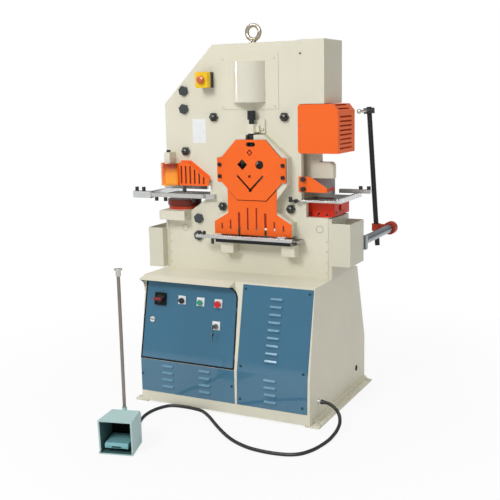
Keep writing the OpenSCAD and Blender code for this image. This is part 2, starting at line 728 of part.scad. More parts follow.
function frame_outline() = [[-hw, z_base], [hw, z_base], [hw, z_notch_ledge], [x_notch, z_notch_ledge],
  [x_notch, z_top], [-hw + chamfer_w, z_top], [-hw, z_top - chamfer_h], [-hw, z_jaw],
  [x_throat - 45, z_jaw], [x_throat - 45, guard_z0], [x_throat, guard_z0], [x_throat, z_bolster + 100], [x_throat - 16, z_bolster + 70],
  [punch_x + bolster_w/2 + 8, z_bolster], [punch_x + bolster_w/2 + 1, z_bolster - 8],
  [punch_x + bolster_w/2 + 1, z_punch_ledge], [-hw, z_punch_ledge]];

module frame_plate_2d() difference() {
  polygon(frame_outline());
  translate([shear_x - window_w, window_z0]) square([2*window_w, window_z1 - window_z0]);
  for (p = concat(hex_at, dome_at)) translate(p) circle(tie_r + 0.2);
}
module front_plate() color(cream) difference() {
  deep(y_front, y_in0) {
    frame_plate_2d();
    translate([x_notch - 1, z_notch_ledge - 1]) square([26, side_table_z - table_t - z_notch_ledge - 1]);
  }
  // window for the cylinder's front
  box(cyl_x - cyl_r - 6, cyl_x + cyl_r + 6, y_front - 1, y_in0 + 1, cyl_z0 - 4, cyl_z1 + 8);
}
module rear_plate() color(cream) deep(y_in1, y_back) frame_plate_2d();

nut_r = 27;
nut_h = 16;
module tie_bolts() color(black) {
  for (p = hex_at) {
    translate([p[0], y_front, p[1]]) rotate([90, 15, 0]) cylinder(h = nut_h, r = nut_r, $fn = 6);
    y_bar(p[0], p[1], y_front - eps, y_back + eps, tie_r);
    translate([p[0], y_back + nut_h, p[1]]) rotate([90, 0, 0]) cylinder(h = nut_h, r = nut_r, $fn = 6);
  }
  for (p = dome_at) {
    translate([p[0], y_front, p[1]]) rotate([90, 0, 0]) cylinder(h = nut_h, r = nut_r - 3, $fn = 6);
    difference() {
      translate([p[0], y_front - nut_h + 4, p[1]]) sphere(r = nut_r - 8);
      translate([p[0] - nut_r, y_front - nut_h + 4, p[1] - nut_r]) cube(2*nut_r);
    }
    y_bar(p[0], p[1], y_front - eps, y_back + eps, tie_r);
    translate([p[0], y_back + nut_h, p[1]]) rotate([90, 0, 0]) cylinder(h = nut_h, r = nut_r, $fn = 6);
  }
}
module spacer_tubes() color("#9A9C9A") for (p = concat(hex_at, dome_at)) difference() {
  y_bar(p[0], p[1], y_in0, y_in1, tube_r);
  y_bar(p[0], p[1], y_in0 - 1, y_in1 + 1, tie_r + 0.2);
}

// Folded covers on the frame's flanks: side sheet with a flange at each end
module side_cover(side, z1) {
  box_side(side, x_side - side_t, x_side, y_front, y_back, z_base, z1);
  box_side(side, hw + cover_in, x_side - side_t + eps, y_front, y_front + side_t, z_base, z1);
  box_side(side, hw + cover_in, x_side - side_t + eps, y_back - side_t, y_back, z_base, z1);
}
module side_covers() color(cream) difference() {
  union() {
    side_cover(-1, z_punch_ledge - 2);
    side_cover(1, z_notch_ledge - 4);
    for (x = [-hw + 8, hw - 8], z = [z_base + 30, z_base + 85, z_base + 140, z_base + 190])
      face_front(x, y_front, z) screw(4.5, 2.5, 2, 0);
  }
}
module frame_sheet() {
  closing_sheet();
  column_box();
}
module closing_sheet() color(cream) difference() {
  deep(y_in0, y_in1) difference() {
    polygon([[-hw, z_jaw], [-hw, z_top - chamfer_h], [-hw + chamfer_w, z_top], [x_notch, z_top],
      [x_notch, z_top - side_t], [-hw + chamfer_w + side_t*0.4, z_top - side_t],
      [-hw + side_t, z_top - chamfer_h - side_t*0.4], [-hw + side_t, z_jaw]]);
  }
  translate([eye_x, eye_y, z_top - side_t - 1]) cylinder(h = side_t + 2, r = eye_shank + 0.3);
}

module column_box() color(cream) difference() {
  union() {
    difference() {
      box(x_notch + 0.3, box_x1, y_front, y_back, box_z0, box_z1);
      box(x_notch - 1, box_x1 - box_t, y_front - 1, y_back - box_t, box_z0 + box_t, box_z1 - box_t);
    }
    // front sheet with a flange that laps the frame plate
    box(box_x0, box_x1, y_front - 2, y_front, box_z0, box_z1);
  }
  y_bar((box_x0 + x_notch)/2 + 8, box_z1 - 66, y_front - 3, y_front + 1, 5);
}

bulge_r = 93;
bulge_back = 20;                    // how far the bulge's axis lies behind the cover
bulge_z0 = cyl_z0 + 11;
bulge_z1 = cyl_z1 + 9;
plate_half = 164;
module cylinder_cover() color(cream) {
  difference() {
    union() {
      box(cyl_x - plate_half, cyl_x + plate_half - 2, y_front - 3, y_front, cyl_z0 - 24, cyl_z1 + 51);
      translate([cyl_x, y_front + bulge_back, bulge_z0]) cylinder(h = bulge_z1 - bulge_z0, r = bulge_r, $fn = 96);
    }
    translate([cyl_x, y_front + bulge_back, bulge_z0 + 3]) cylinder(h = bulge_z1 - bulge_z0 - 6, r = bulge_r - 3, $fn = 96);
    box(cyl_x - 200, cyl_x + 200, y_front, y_front + 200, cyl_z0 - 100, cyl_z1 + 100);
    for (x = [-1, 1], z = [cyl_z0 - 10, cyl_z1 + 24]) y_bar(cyl_x - 5 + x*145, z, y_front - 4, y_front + 1, 3.2);
  }
  for (x = [-1, 1], z = [cyl_z0 - 10, cyl_z1 + 24]) face_front(cyl_x - 5 + x*145, y_front - 3, z)
    screw(6, 3, 3.2, 3);
}

// Hydraulic cylinder: barrel with a mounting bridge between the plates
wall_c = 16;
bridge_h = 22;
module cylinder_barrel() color("#A9ABA8") difference() {
  union() {
    translate([cyl_x, beam_y, cyl_z0]) cylinder(h = cyl_z1 - cyl_z0, r = cyl_r);
    box(cyl_x - cyl_r - 24, cyl_x + cyl_r + 24, y_in0, y_in1, cyl_z0 - bridge_h, cyl_z0 + eps);
  }
  translate([cyl_x, beam_y, cyl_z0 + 14]) cylinder(h = cyl_z1 - cyl_z0 - 30, r = cyl_r - wall_c);
  translate([cyl_x, beam_y, cyl_z0 - bridge_h - 1]) cylinder(h = bridge_h + 30, r = rod_radius + 0.05);
}
piston_z = cyl_z0 + 14 + stroke + 8;
module cylinder_rod() color("#C8CACB") {
  translate([cyl_x, beam_y, beam_top]) cylinder(h = piston_z - beam_top + eps, r = rod_radius);
  translate([cyl_x, beam_y, piston_z]) cylinder(h = 40, r = cyl_r - wall_c - 0.3);
}

eye_x = 8;
eye_y = beam_y + 19;
eye_z = z_top + 59;
eye_shank = 12;
eye_ring = 36;
eye_wire = 10.5;
module lifting_eye() color("#B9A98A") {
  difference() {
    box(eye_x - 45, eye_x + 45, y_in0, y_in1, z_top - side_t - 40, z_top - side_t);
    translate([eye_x, eye_y, z_top - side_t - 41]) cylinder(h = 42, r = eye_shank);
  }
  translate([eye_x, eye_y, z_top - side_t - 36]) cylinder(h = 36 + side_t, r = eye_shank);
  translate([eye_x, eye_y, z_top]) cylinder(h = 8, r = 24);
  translate([eye_x, eye_y, z_top + 8 - eps]) cylinder(h = eye_z - eye_ring - z_top - 4, r = 14);
  translate([eye_x, eye_y, eye_z]) rotate([90, 0, 0]) rotate_extrude() translate([eye_ring, 0]) circle(eye_wire);
}

stop_box_x = -hw + 264;
stop_box_z = z_top - 177;
stop_box_w = 70;
stop_box_h = 80;
stop_box_d = 34;
module stop_box() {
  color(black) deep(y_front - stop_box_d, y_front)
    round_rect(stop_box_x - stop_box_w/2, stop_box_x + stop_box_w/2, stop_box_z - stop_box_h/2, stop_box_z + stop_box_h/2, 4);
  color("#F2C811") difference() {
    deep(y_front - 2*stop_box_d, y_front - stop_box_d) 
      round_rect(stop_box_x - stop_box_w/2, stop_box_x + stop_box_w/2, stop_box_z - stop_box_h/2, stop_box_z + stop_box_h/2, 5);
    y_bar(stop_box_x, stop_box_z, y_front - 2*stop_box_d - 1, y_front - stop_box_d - 4, 11.4);
  }
}
module mushroom_button() color("#C6202B") {
  y_bar(stop_box_x, stop_box_z, y_front - 2*stop_box_d - 8, y_front - stop_box_d - 12, 11);
  translate([stop_box_x, y_front - 2*stop_box_d - 7, stop_box_z]) rotate([90, 0, 0]) rotate_extrude()
    polygon([[0, 0], [19, 0], [20, 3], [20, 8], [18, 12], [13, 15], [6, 16.5], [0, 17]]);
}

// ---------------- shearing station

function mirror_pts(right) = concat(right, [for (i = [len(right) - 1:-1:0]) [-right[i][0], right[i][1]]]);

// Octagonal guard with its two ears, relative to the station's middle
function octagon_pts() = mirror_pts([[octagon_w/2 - 4, z_oct], [octagon_w - 6, z_oct + 86],
  [octagon_w - 6, z_mid - ear_h/2], [octagon_w + ear_out, z_mid - ear_h/2 + 2],
  [octagon_w + ear_out, z_mid + ear_h/2 - 2], [octagon_w - 6, z_mid + ear_h/2 + 2],
  [octagon_w/2 - 3, z_oct_top]]);
// Skirt guard: neck and slotted skirt
function skirt_pts() = mirror_pts([[skirt_w, z_skirt], [skirt_w, z_skirt + skirt_up], [neck_w, z_neck],
  [neck_w, z_oct + 60]]);
// Housing: the same outline with more width at the top
function housing_pts() = mirror_pts([[skirt_w - 2, z_skirt], [skirt_w - 2, z_skirt + skirt_up + 8], [neck_w - 10, z_neck + 16],
  [neck_w - 10, z_oct - 4], [octagon_w + ear_out, z_mid - ear_h/2 - 14], [octagon_w + ear_out, z_mid + ear_h/2 + 2],
  [octagon_w/2 - 20, z_oct_top + 24]]);

// Openings that the stock goes through
bar_z = z_mid + 27;
module stock_openings(grow) {
  translate([shear_x - 49, bar_z]) rotate(45) square(40 + 2*grow, center = true);
  translate([shear_x + 48, bar_z]) circle(22 + grow);
  vee(10 + grow);
}
// V-shaped slot for angle bar
module vee(w) translate([shear_x - 6, z_mid - 104]) for (side = [0, 1]) mirror([side, 0])
  translate([0, -w/2]) rotate(45) translate([-w/2, 0]) square([114, w]);

module shear_housing() color(cream) difference() {
  union() {
    deep(y_housing, y_front) translate([shear_x, 0]) polygon(housing_pts());
    // lip that lies on the frame plate
    deep(y_front - 8, y_front) translate([shear_x, 0]) scale_outline() polygon(housing_pts());
  }
  deep(y_housing + housing_t, y_front + 1) translate([shear_x, 0]) inner_outline();
  deep(y_housing - 1, y_front) stock_openings(3);
  // open below, where flat bar slides over the table
  box(shear_x - skirt_w + 30, shear_x + skirt_w - 30, y_housing - 1, y_front + 1, z_skirt - 1, z_skirt + 40);
  // bore for the hold-down foot, open to the front
  box(hold_x - 22, hold_x + 22, y_housing - 1, hold_y, z_oct_top - 2, z_oct_top + 40);
  translate([hold_x, hold_y, z_oct_top - 40]) cylinder(h = 90, r = hold_r + 3.5);
  deep(y_housing - 1, y_housing + housing_t + 1) oval_hole(2);
  for (x = [-1, 1], z = [-1, 1]) y_bar(shear_x + x*(octagon_w + 6), ear_screw_z + z*30, y_housing - 1, y_housing + housing_t + 1, 4.2);
}
// Housing outline spread sideways by its lip
module scale_outline() { children(); for (dx = [-3, 3]) translate([dx, 0]) children(); }
// Hollow of the housing: its outline cut back by the wall on every side
module inner_outline() intersection() {
  translate([-housing_t - 2, 0]) polygon(housing_pts());
  translate([housing_t + 2, 0]) polygon(housing_pts());
  translate([0, -housing_t]) polygon(housing_pts());
}
ear_screw_z = z_mid - 4;
module oval_hole(grow) translate([hold_x + 8, z_oct_top - 24]) {
  square([28 + 2*grow, 22 + 2*grow], center = true);
  for (x = [-14, 14]) translate([x, 0]) circle(11 + grow);
}

module octagon_guard() color(orange) {
  difference() {
    deep(y_housing - 2*guard_t, y_housing) difference() {
      translate([shear_x, 0]) polygon(octagon_pts());
      stock_openings(0);
      oval_hole(0);
      translate([shear_x - 6, z_mid + 88]) rotate(45) difference() {
        square(24, center = true);
        square(12, center = true);
      }
      translate([shear_x - 8, z_mid - 33]) circle(8);
      for (x = [-1, 1], z = [-1, 1]) translate([shear_x + x*(octagon_w + 6), ear_screw_z + z*30]) circle(4.2);
    }
  }
  for (x = [-1, 1], z = [-1, 1]) color(black)
    face_front(shear_x + x*(octagon_w + 6), y_housing - 2*guard_t, ear_screw_z + z*30) screw(10, 9, 4, 2*guard_t + housing_t - 1);
}

slot_x = [for (i = [0:slot_n - 1]) (i - (slot_n - 1)/2)*slot_step];
module skirt_slot(x, wide_w, z0, z1) translate([shear_x + x - wide_w/2, z0]) square([wide_w, z1 - z0]);
module skirt_guard() color(orange) deep(y_housing - guard_t, y_housing) difference() {
  translate([shear_x, 0]) polygon(skirt_pts());
  translate([shear_x, 0]) octagon_cut();
  skirt_slot(slot_x[0], 9, z_skirt + 28, z_skirt + 57);
  skirt_slot(slot_x[1], 9, z_skirt + 28, z_skirt + 75);
  skirt_slot(slot_x[2], 13, z_skirt - 1, z_skirt + 116);
  skirt_slot(slot_x[3], 9, z_skirt + 28, z_skirt + 142);
  skirt_slot(slot_x[4], 9, z_skirt + 28, z_skirt + 142);
  skirt_slot(slot_x[5], 13, z_skirt - 1, z_skirt + 116);
  skirt_slot(slot_x[6], 9, z_skirt + 28, z_skirt + 75);
  skirt_slot(slot_x[7], 9, z_skirt + 28, z_skirt + 57);
}
module octagon_cut() {
  polygon(octagon_pts());
  for (dz = [-0.6, 0.6], dx = [-0.6, 0.6]) translate([dx, dz]) polygon(octagon_pts());
}

// Fixed blades: a slotted block on the rear plate side and the flat bar blade
module fixed_blades() color("#6E7275") {
  deep(beam_y - beam_t/2 - 26, beam_y - beam_t/2 - 1) difference() {
    translate([shear_x - window_w + 1, z_mid - 140]) square([2*window_w - 2, 216]);
    stock_openings(3);
  }
  // ribs that carry the block between the plates
  for (x = [shear_x - window_w, shear_x + window_w - 20])
    box(x, x + 20, y_in0 - plate_t + 2, beam_y - beam_t/2 - 26 + eps, z_mid - 100, z_mid + 60);
  box(shear_x - window_w, shear_x + window_w, beam_y - beam_t/2 - 26, beam_y - beam_t/2 - 1,
    window_z0 - 60, window_z0 - 2);
  box(shear_x - window_w - 20, shear_x + window_w + 20, y_in0, beam_y - beam_t/2 - 26 + eps,
    window_z0 - 60, window_z0 - 30);
}

// ---------------- moving tools

beam_bottom = z_mid - 150;
ram_r_corner = 22;
module tool_beam() color(cream) {
  deep(beam_y - beam_t/2, beam_y + beam_t/2) difference() {
    union() {
      translate([shear_x - beam_w, beam_bottom]) square([2*beam_w, beam_top - beam_bottom]);
      translate([punch_x - 32, beam_top - beam_arm]) square([shear_x - punch_x, beam_arm]);
      translate([shear_x, beam_top - beam_arm]) square([ram_x1 - 72 - shear_x, beam_arm]);
      // hooked end over the notching die
      translate([ram_x0, ram_low]) square([ram_x1 - 72 - ram_x0, beam_top - ram_low]);
      translate([ram_x1 - 80, ram_low]) square([80, 82 - ram_r_corner]);
      translate([ram_x1 - 80, ram_low]) square([80 - ram_r_corner, 82]);
      translate([ram_x1 - ram_r_corner, ram_low + 82 - ram_r_corner]) circle(ram_r_corner);
    }
    stock_openings(3);
  }
  // boss over the punch ram
  box(punch_x - 32, punch_x + 32, punch_y - 32, beam_y - beam_t/2 + eps, beam_top - beam_arm, beam_top);
}
module moving_blades() color("#54585B") {
  // notching blade under the hooked end
  box(blade_x0, blade_x1, beam_y - beam_t/2 + 2, beam_y + beam_t/2 - 2, side_table_z + 17, ram_low);
  // flat bar blade under the beam
  box(shear_x - window_w + 6, shear_x + window_w - 6, beam_y - beam_t/2, beam_y - beam_t/2 + 20,
    window_z0 + stroke + 12, beam_bottom);
}

// ---------------- hold-down

hold_x = shear_x - 8;
hold_y = y_front - 32;
hold_r = 17;
hold_z = z_oct_top + 30;            // underside of the bracket's block
hold_block = 38;
screw_hold_r = 10;
screw_fit = 0.05;
module hold_down_bracket() color(cream) difference() {
  union() {
    box(hold_x - hold_block/2, hold_x + hold_block/2, hold_y - 20, y_front, hold_z, hold_z + 47);
    box(hold_x - 20, hold_x + 64, y_front - 12, y_front, hold_z, hold_z + 68);
    box(hold_x + hold_block/2 - eps, hold_x + 40, hold_y, y_front, hold_z + 6, hold_z + 40);
    face_front(hold_x + 50, y_front - 12, hold_z + 24) screw(9, 9, 4, 1);
  }
  translate([hold_x, hold_y, hold_z - 1]) cylinder(h = 60, r = screw_hold_r + screw_fit);
}
module hold_down_knob() color(black) translate([hold_x, hold_y, hold_z]) {
  translate([0, 0, -14]) cylinder(h = 14.2 + 47 + 22, r = screw_hold_r);
  translate([0, 0, 47.4]) cylinder(h = 22, r = 13);
  translate([0, 0, 69]) cylinder(h = 45, r = 21);
  translate([0, 0, -14]) cylinder(h = 13.6, r = 19);
  translate([0, 0, -52]) cylinder(h = 40, r = 8);
}
module hold_down_foot() color("#2A2C2E") translate([hold_x, hold_y, hold_z]) difference() {
  union() {
    translate([0, 0, -14.4 - 16]) cylinder(h = 16, r = 19);
    translate([0, 0, -86]) cylinder(h = 86 - 30, r = hold_r);
  }
  translate([0, 0, -56]) cylinder(h = 50, r = 8.05);
}

// ---------------- punching station

punch_tip = side_table_z + 8;
ram_top = beam_top - beam_arm;
guide_z0 = z_jaw + 12;
guide_z1 = z_jaw + 92;
module punch_tool() color("#5A5E60") {
  translate([punch_x, punch_y, punch_tip + 85]) cylinder(h = ram_top - punch_tip - 85, r = ram_r);
  translate([punch_x, punch_y, punch_tip + 48]) cylinder(h = 37 + eps, r = ram_r + 8, $fn = 6);
  translate([punch_x, punch_y, punch_tip]) cylinder(h = 48 + eps, r = 11);
}

bolster_y0 = y_front - 68;
die_low = 22;
die_high = 30;
module die_block() {
  color(cream) difference() {
    box(punch_x - bolster_w/2, punch_x + bolster_w/2, bolster_y0, y_back, z_punch_ledge, z_bolster);
    translate([punch_x, punch_y, z_punch_ledge - 1]) cylinder(h = bolster_h + 2, r = 20);
    x_bar(bolster_y0 + 24, z_bolster - 20, punch_x + bolster_w/2 - 20, punch_x + bolster_w/2 + 1, 5);
  }
  color(dark_red) difference() {
    translate([punch_x, punch_y, z_bolster]) {
      cylinder(h = die_low + eps, r = die_r - 6);
      translate([0, 0, die_low]) cylinder(h = die_high, r = die_r);
    }
    translate([punch_x, punch_y, z_bolster - 1]) cylinder(h = die_low + die_high + 2, r = 14);
  }
  // guide that the ram runs in
  color(cream) difference() {
    box(punch_x - 52, punch_x + 38, y_in0, y_in1, guide_z0, guide_z1);
    translate([punch_x, punch_y, guide_z0 - 1]) cylinder(h = guide_z1 - guide_z0 + 2, r = ram_r + 0.05);
  }
  // bed between the frame plates, and the notching die
  color(cream) box(x_notch, hw, y_in0, y_in1, z_notch_ledge - 40, z_notch_ledge);
  color(dark_red) difference() {
    box(die_x0, die_x1, die_y0, y_back + 30, z_notch_ledge, z_notch_ledge + die_h);
    box(blade_x0 - 1, blade_x1 + 1, beam_y - beam_t/2 + 1, beam_y + beam_t/2 - 1, z_notch_ledge - 1, z_notch_ledge + die_h + 1);
    for (x = [die_x0 + 22, die_x0 + 66]) y_bar(x, z_notch_ledge + 14, die_y0 - 1, die_y0 + 18, 5);
    for (y = [die_y0 + 20, die_y0 + 120]) x_bar(y, z_notch_ledge + 16, die_x1 - 12, die_x1 + 1, 5);
    box(die_x1 - 9, die_x1 + 1, die_y0 + 58, die_y0 + 98, z_notch_ledge + 24, z_notch_ledge + 52);
  }
}

// Amber window wrapped round the punch, and the slotted sheet beside it
win_x = punch_x - 22;
win_y = y_front - 22;
win_r = 55;
guard_z0 = z_bolster + 134;
guard_z1 = guard_z0 + 118;
sheet_y = y_front - 30;
module punch_guard() {
  color("#F59A1E") difference() {
    union() {
      translate([win_x, win_y, guard_z0]) cylinder(h = guard_z1 - guard_z0, r = win_r);
      box(win_x - win_r, win_x + win_r, win_y, y_front, guard_z0, guard_z1);
    }
    translate([win_x, win_y, guard_z0 - 1]) cylinder(h = guard_z1 - guard_z0 + 2, r = win_r - 3);
    box(win_x - win_r + 3, win_x + win_r - 3, win_y, y_front + 1, guard_z0 - 1, guard_z1 + 1);
    box(win_x - win_r - 1, win_x + win_r + 1, y_front, y_front + win_r, guard_z0 - 1, guard_z1 + 1);
  }
  color(orange) difference() {
    union() {
      deep(sheet_y, sheet_y + 3) slotted_outline();
      // flange along the sloping edge, screwed to the frame plate
      deep(y_front - 3, y_front) flange_outline();
      deep(sheet_y, y_front) edge_strip();
    }
    for (i = [0:5]) {
      x = win_x + win_r + 8 + i*27;
      box(x, x + 9, sheet_y - 1, sheet_y + 4, guard_z0 + 10, min(guard_z1 - 14, slope_z(x) - 26));
    }
  }
  // bracket and knob above the window
  color(cream) box(win_x - 18, win_x + 16, y_front - 60, y_front, guard_z1 + 2, guard_z1 + 58);
  color(black) translate([win_x - 2, y_front - 40, guard_z1 + 58]) cylinder(h = 12, r = 11);
}
g_x0 = win_x + win_r - 3;
g_x1 = x_throat + 8;
g_x2 = g_x1 - 8;                    // end of the flange
g_top = 62;                         // length of the level top edge
function slope_z(x) = guard_z1 + 16 - max(0, x - g_x0 - g_top)*0.72;
module slotted_outline() polygon([[g_x0, guard_z0], [g_x1 - 8, guard_z0], [g_x1, guard_z0 + 8],
  [g_x1, slope_z(g_x1) - 16], [g_x0 + g_top - 4, guard_z1 + 2], [g_x0, guard_z1 + 2]]);
module flange_outline() polygon([[g_x0, guard_z1], [g_x0 + g_top - 4, guard_z1],
  [g_x2, slope_z(g_x2) - 18], [g_x2, slope_z(g_x2) - 4], [g_x0 + g_top, guard_z1 + 13], [g_x0, guard_z1 + 13]]);
module edge_strip() polygon([[g_x0, guard_z1 - 1], [g_x0 + g_top - 4, guard_z1 - 1],
  [g_x1, slope_z(g_x1) - 19], [g_x1, slope_z(g_x1) - 16], [g_x0 + g_top - 4, guard_z1 + 2], [g_x0, guard_z1 + 2]]);

// ---------------- notching station

module cover_outline(t) {
  x0 = cover_x0 + t;
  x1 = cover_x1 - t;
  z0 = cover_z0 + t;
  z1 = cover_z1 - t;
  r = 15;
  difference() {
    polygon([[x0, z0], [x1, z0], [x1, z1 - 34], [x1 - 28, z1], [x0, z1]]);
    for (p = [[x0, z0, 1, 1], [x0, z1, 1, -1]]) translate([p[0] + p[2]*r, p[1] + p[3]*r])
      scale([-p[2], -p[3]]) difference() {
        square(r + 1);
        circle(r);
      }
  }
}
cover_t = 2.5;
cover_y0 = y_front - 5;
cover_y1 = cover_y0 + cover_d;
side_slots = 8;
module notch_cover() color(orange) difference() {
  deep(cover_y0, cover_y1) cover_outline(0);
  deep(cover_y0 + 5, cover_y1 - cover_t) cover_outline(cover_t);
  // open towards the frame and below, for the tool beam
  box(cover_x0 - 1, x_notch + 1, y_front, cover_y1 + 1, cover_z0 - 1, cover_z1 + 1);
  box(x_notch - 1, cover_x1 - 24, y_front + 20, cover_y1 - 20, cover_z0 - 1, cover_z0 + cover_t + 1);
  for (i = [0:side_slots - 1]) box(cover_x1 - 6, cover_x1 + 1, cover_y0 + 24, cover_y1 - 44,
    cover_z0 + 20 + i*22, cover_z0 + 28 + i*22);
  // two slots across the sloping corner
  for (t = [0.2, 0.72]) translate([cover_x1 - 28*(1 - t), 0, cover_z1 - 34*t]) rotate([0, 50, 0])
    box(-6, 3, cover_y0 + 24, cover_y1 - 60, -4, 4);
  y_bar(cover_x0 + 14, cover_z0 + 136, cover_y0 - 1, cover_y0 + 6, 4);
}

ng_x0 = x_notch + 6;
ng_x1 = notch_x + 62;
ng_z0 = side_table_z + 40;
ng_z1 = ng_z0 + 77;
module notch_guard() {
  color(orange) difference() {
    deep(y_front - 12, y_front - 9) polygon([[ng_x0, ng_z0], [ng_x1, ng_z0], [ng_x1, ng_z0 + 22],
      [ng_x0 + 48, ng_z1], [ng_x0, ng_z1]]);
  }
  color(dark_red) {
    box(x_notch - 12, ng_x0 + 26, y_front - 9, y_front, ng_z0, ng_z1);
    // side wing beside the blade
    box(ng_x1 - 3, ng_x1, y_front - 9, y_front + 92, ng_z0 + 2, ng_z0 + 20);
  }
  color(black) for (z = [ng_z0 + 16, ng_z1 - 12])
    y_bar(ng_x0 + 12, z, y_front - 30, y_front - 12, 12);
}

// ---------------- tables and gauges

table_y = y_front - 4;              // rear edge of what stands before the front plate
rail_y = y_front - 18;              // rear face of the side tables' front rails
rail_z = side_table_z - 10;
rail_h = 22;
pt_x0 = punch_x - 116;
pt_x1 = punch_x + 172;
pr_x0 = punch_x - 196;              // punching table's left rail
nt_x0 = x_notch + 3;
nt_x1 = notch_x + 114;
nt_back = y_back + 50;
mt_x0 = shear_x - 213;
mt_x1 = shear_x + 262;
mt_y0 = y_front - 94;
fence_run = 120;                    // travel of the rear fences
module work_tables() color("#C3C6C8") {
  // punching table, its rails and end block
  difference() {
    box(pt_x0, pt_x1, rail_y, y_in1 - 20, side_table_z - table_t, side_table_z);
    translate([punch_x, punch_y, side_table_z - table_t - 1]) cylinder(h = table_t + 2, r = 45);
  }
  box(pt_x0 - 30, pt_x1 + 8, rail_y - gauge_w, rail_y, rail_z, rail_z + rail_h);
  box(punch_x - 259, pt_x0 - 30, rail_y - gauge_w - 4, rail_y + 8, rail_z - 8, rail_z + rail_h + 6);
  gauge_rail_y(pr_x0, rail_y + 8, y_in1 + 130, rail_z);
  box(pr_x0 + gauge_w, pt_x0, rail_y + 8, rail_y + 40, side_table_z - table_t, side_table_z);
  // notching table and right rail
  difference() {
    box(nt_x0, nt_x1, y_front - 6, y_back + 30, side_table_z - table_t, side_table_z);
    box(blade_x0 - 4, blade_x1 + 4, beam_y - beam_t/2 - 4, beam_y + beam_t/2 + 4, side_table_z - 20, side_table_z + 1);
  }
  gauge_rail_y(nt_x1, y_front - 19, nt_back, rail_z);
  box(nt_x0 - 70, nt_x1, y_front - 19, y_front - 6, side_table_z - table_t + 2, side_table_z - 2);
  // centre table and its front rail
  box(mt_x0, mt_x1, mt_y0, table_y, mid_table_z - table_t, mid_table_z);
  gauge_rail_x(mt_x0 - 92, mt_x1 - 18, mt_y0 - gauge_w, mid_table_z - 10);
  box(mt_x0 + 12, mt_x1 - 36, mt_y0 + 2, table_y - 4, mid_table_z - table_t - 14, mid_table_z - table_t);
  for (x = [mt_x0 + 32, mt_x1 - 96]) box(x, x + 72, y_front - 70, y_front, mid_table_z - table_t - 72, mid_table_z - table_t - 14);
  box(pt_x1 + 8, pt_x1 + 66, rail_y - 8, y_front, rail_z - 4, rail_z + rail_h);
}
// Grooved gauge rails
module gauge_rail_x(x0, x1, y, z) difference() {
  box(x0, x1, y, y + gauge_w, z + 6, z + rail_h);
  box(x0 - 1, x1 + 1, y + gauge_w/2 - 3, y + gauge_w/2 + 3, z + rail_h - 8, z + rail_h + 1);
}
module gauge_rail_y(x, y0, y1, z) difference() {
  box(x, x + gauge_w, y0, y1, z, z + rail_h);
  box(x + gauge_w/2 - 3, x + gauge_w/2 + 3, y0 - 1, y1 + 1, z + rail_h - 8, z + rail_h + 1);
}
// Clamping knobs fixed to the rails
module gauge_knobs() color(black) {
  for (x = [punch_x - 244, punch_x - 200]) translate([x, rail_y - 8, rail_z + rail_h + 6]) cylinder(h = 22, r = 10);
  for (x = [punch_x - 117, punch_x - 60, punch_x + 117]) translate([x, rail_y - gauge_w/2, rail_z - 22]) cylinder(h = 22, r = 10);
  translate([nt_x0 - 52, y_front - 28.2, side_table_z - 10]) cylinder(h = 26, r = 9);
  y_bar(nt_x0 - 20, side_table_z - 4, y_front - 40, y_front - 19, 10);
  for (x = [mt_x0 - 74, mt_x0 - 46]) translate([x, mt_y0 - gauge_w/2, mid_table_z + 12]) cylinder(h = 18, r = 8);
  translate([mt_x0 + 2, mt_y0 - 10, mid_table_z - 34]) cylinder(h = 30, r = 8);
}
rest = rail_z + rail_h + 0.3;       // where the sliding fences ride on the rails
module punch_fence() color("#9FA4A8") {
  box(pr_x0 - 4, punch_x + 79, y_in1 - 25, y_in1 - 5, rest, rest + 20);
  box(pr_x0 + gauge_w/2 - 2.6, pr_x0 + gauge_w/2 + 2.6, y_in1 - 25, y_in1 - 5, rest - 7, rest + eps);
}
module notch_fence() {
  color("#9FA4A8") {
    box(nt_x1 - 86, nt_x1 + gauge_w + 62, y_in1 + 32, y_in1 + 54, rest, rest + 20);
    box(nt_x1 + gauge_w/2 - 2.6, nt_x1 + gauge_w/2 + 2.6, y_in1 + 32, y_in1 + 54, rest - 7, rest + eps);
  }
  color(black) for (x = [nt_x1 + 29, nt_x1 + 73]) translate([x, y_in1 + 43, rest + 20]) cylinder(h = 17, r = 10);
}
module shear_stop() color("#B9BDC0") {
  box(mt_x1 - 96, mt_x1 - 58, mt_y0 - gauge_w, mt_y0 + 6, mid_table_z + 12.3, mid_table_z + 24);
  box(mt_x1 - 90, mt_x1 - 64, mt_y0 - gauge_w/2 - 2.6, mt_y0 - gauge_w/2 + 2.6, mid_table_z + 5, mid_table_z + 12.3 + eps);
}

// ---------------- bins and length stop

module open_bin(x0, x1, y0, z0) difference() {
  box(x0, x1, y0, y0 + bin_d, z0, z0 + bin_h);
  box(x0 + bin_t, x1 - bin_t, y0 + bin_t, y0 + bin_d - bin_t, z0 + bin_t, z0 + bin_h + 1);
}
module scrap_bins() color(cream) {
  open_bin(x_side, x_side + right_bin_w, y_front, bin_z_r);
  open_bin(-x_side - left_bin_w, -x_side, y_front - bin_fwd_l, bin_z_l);
}

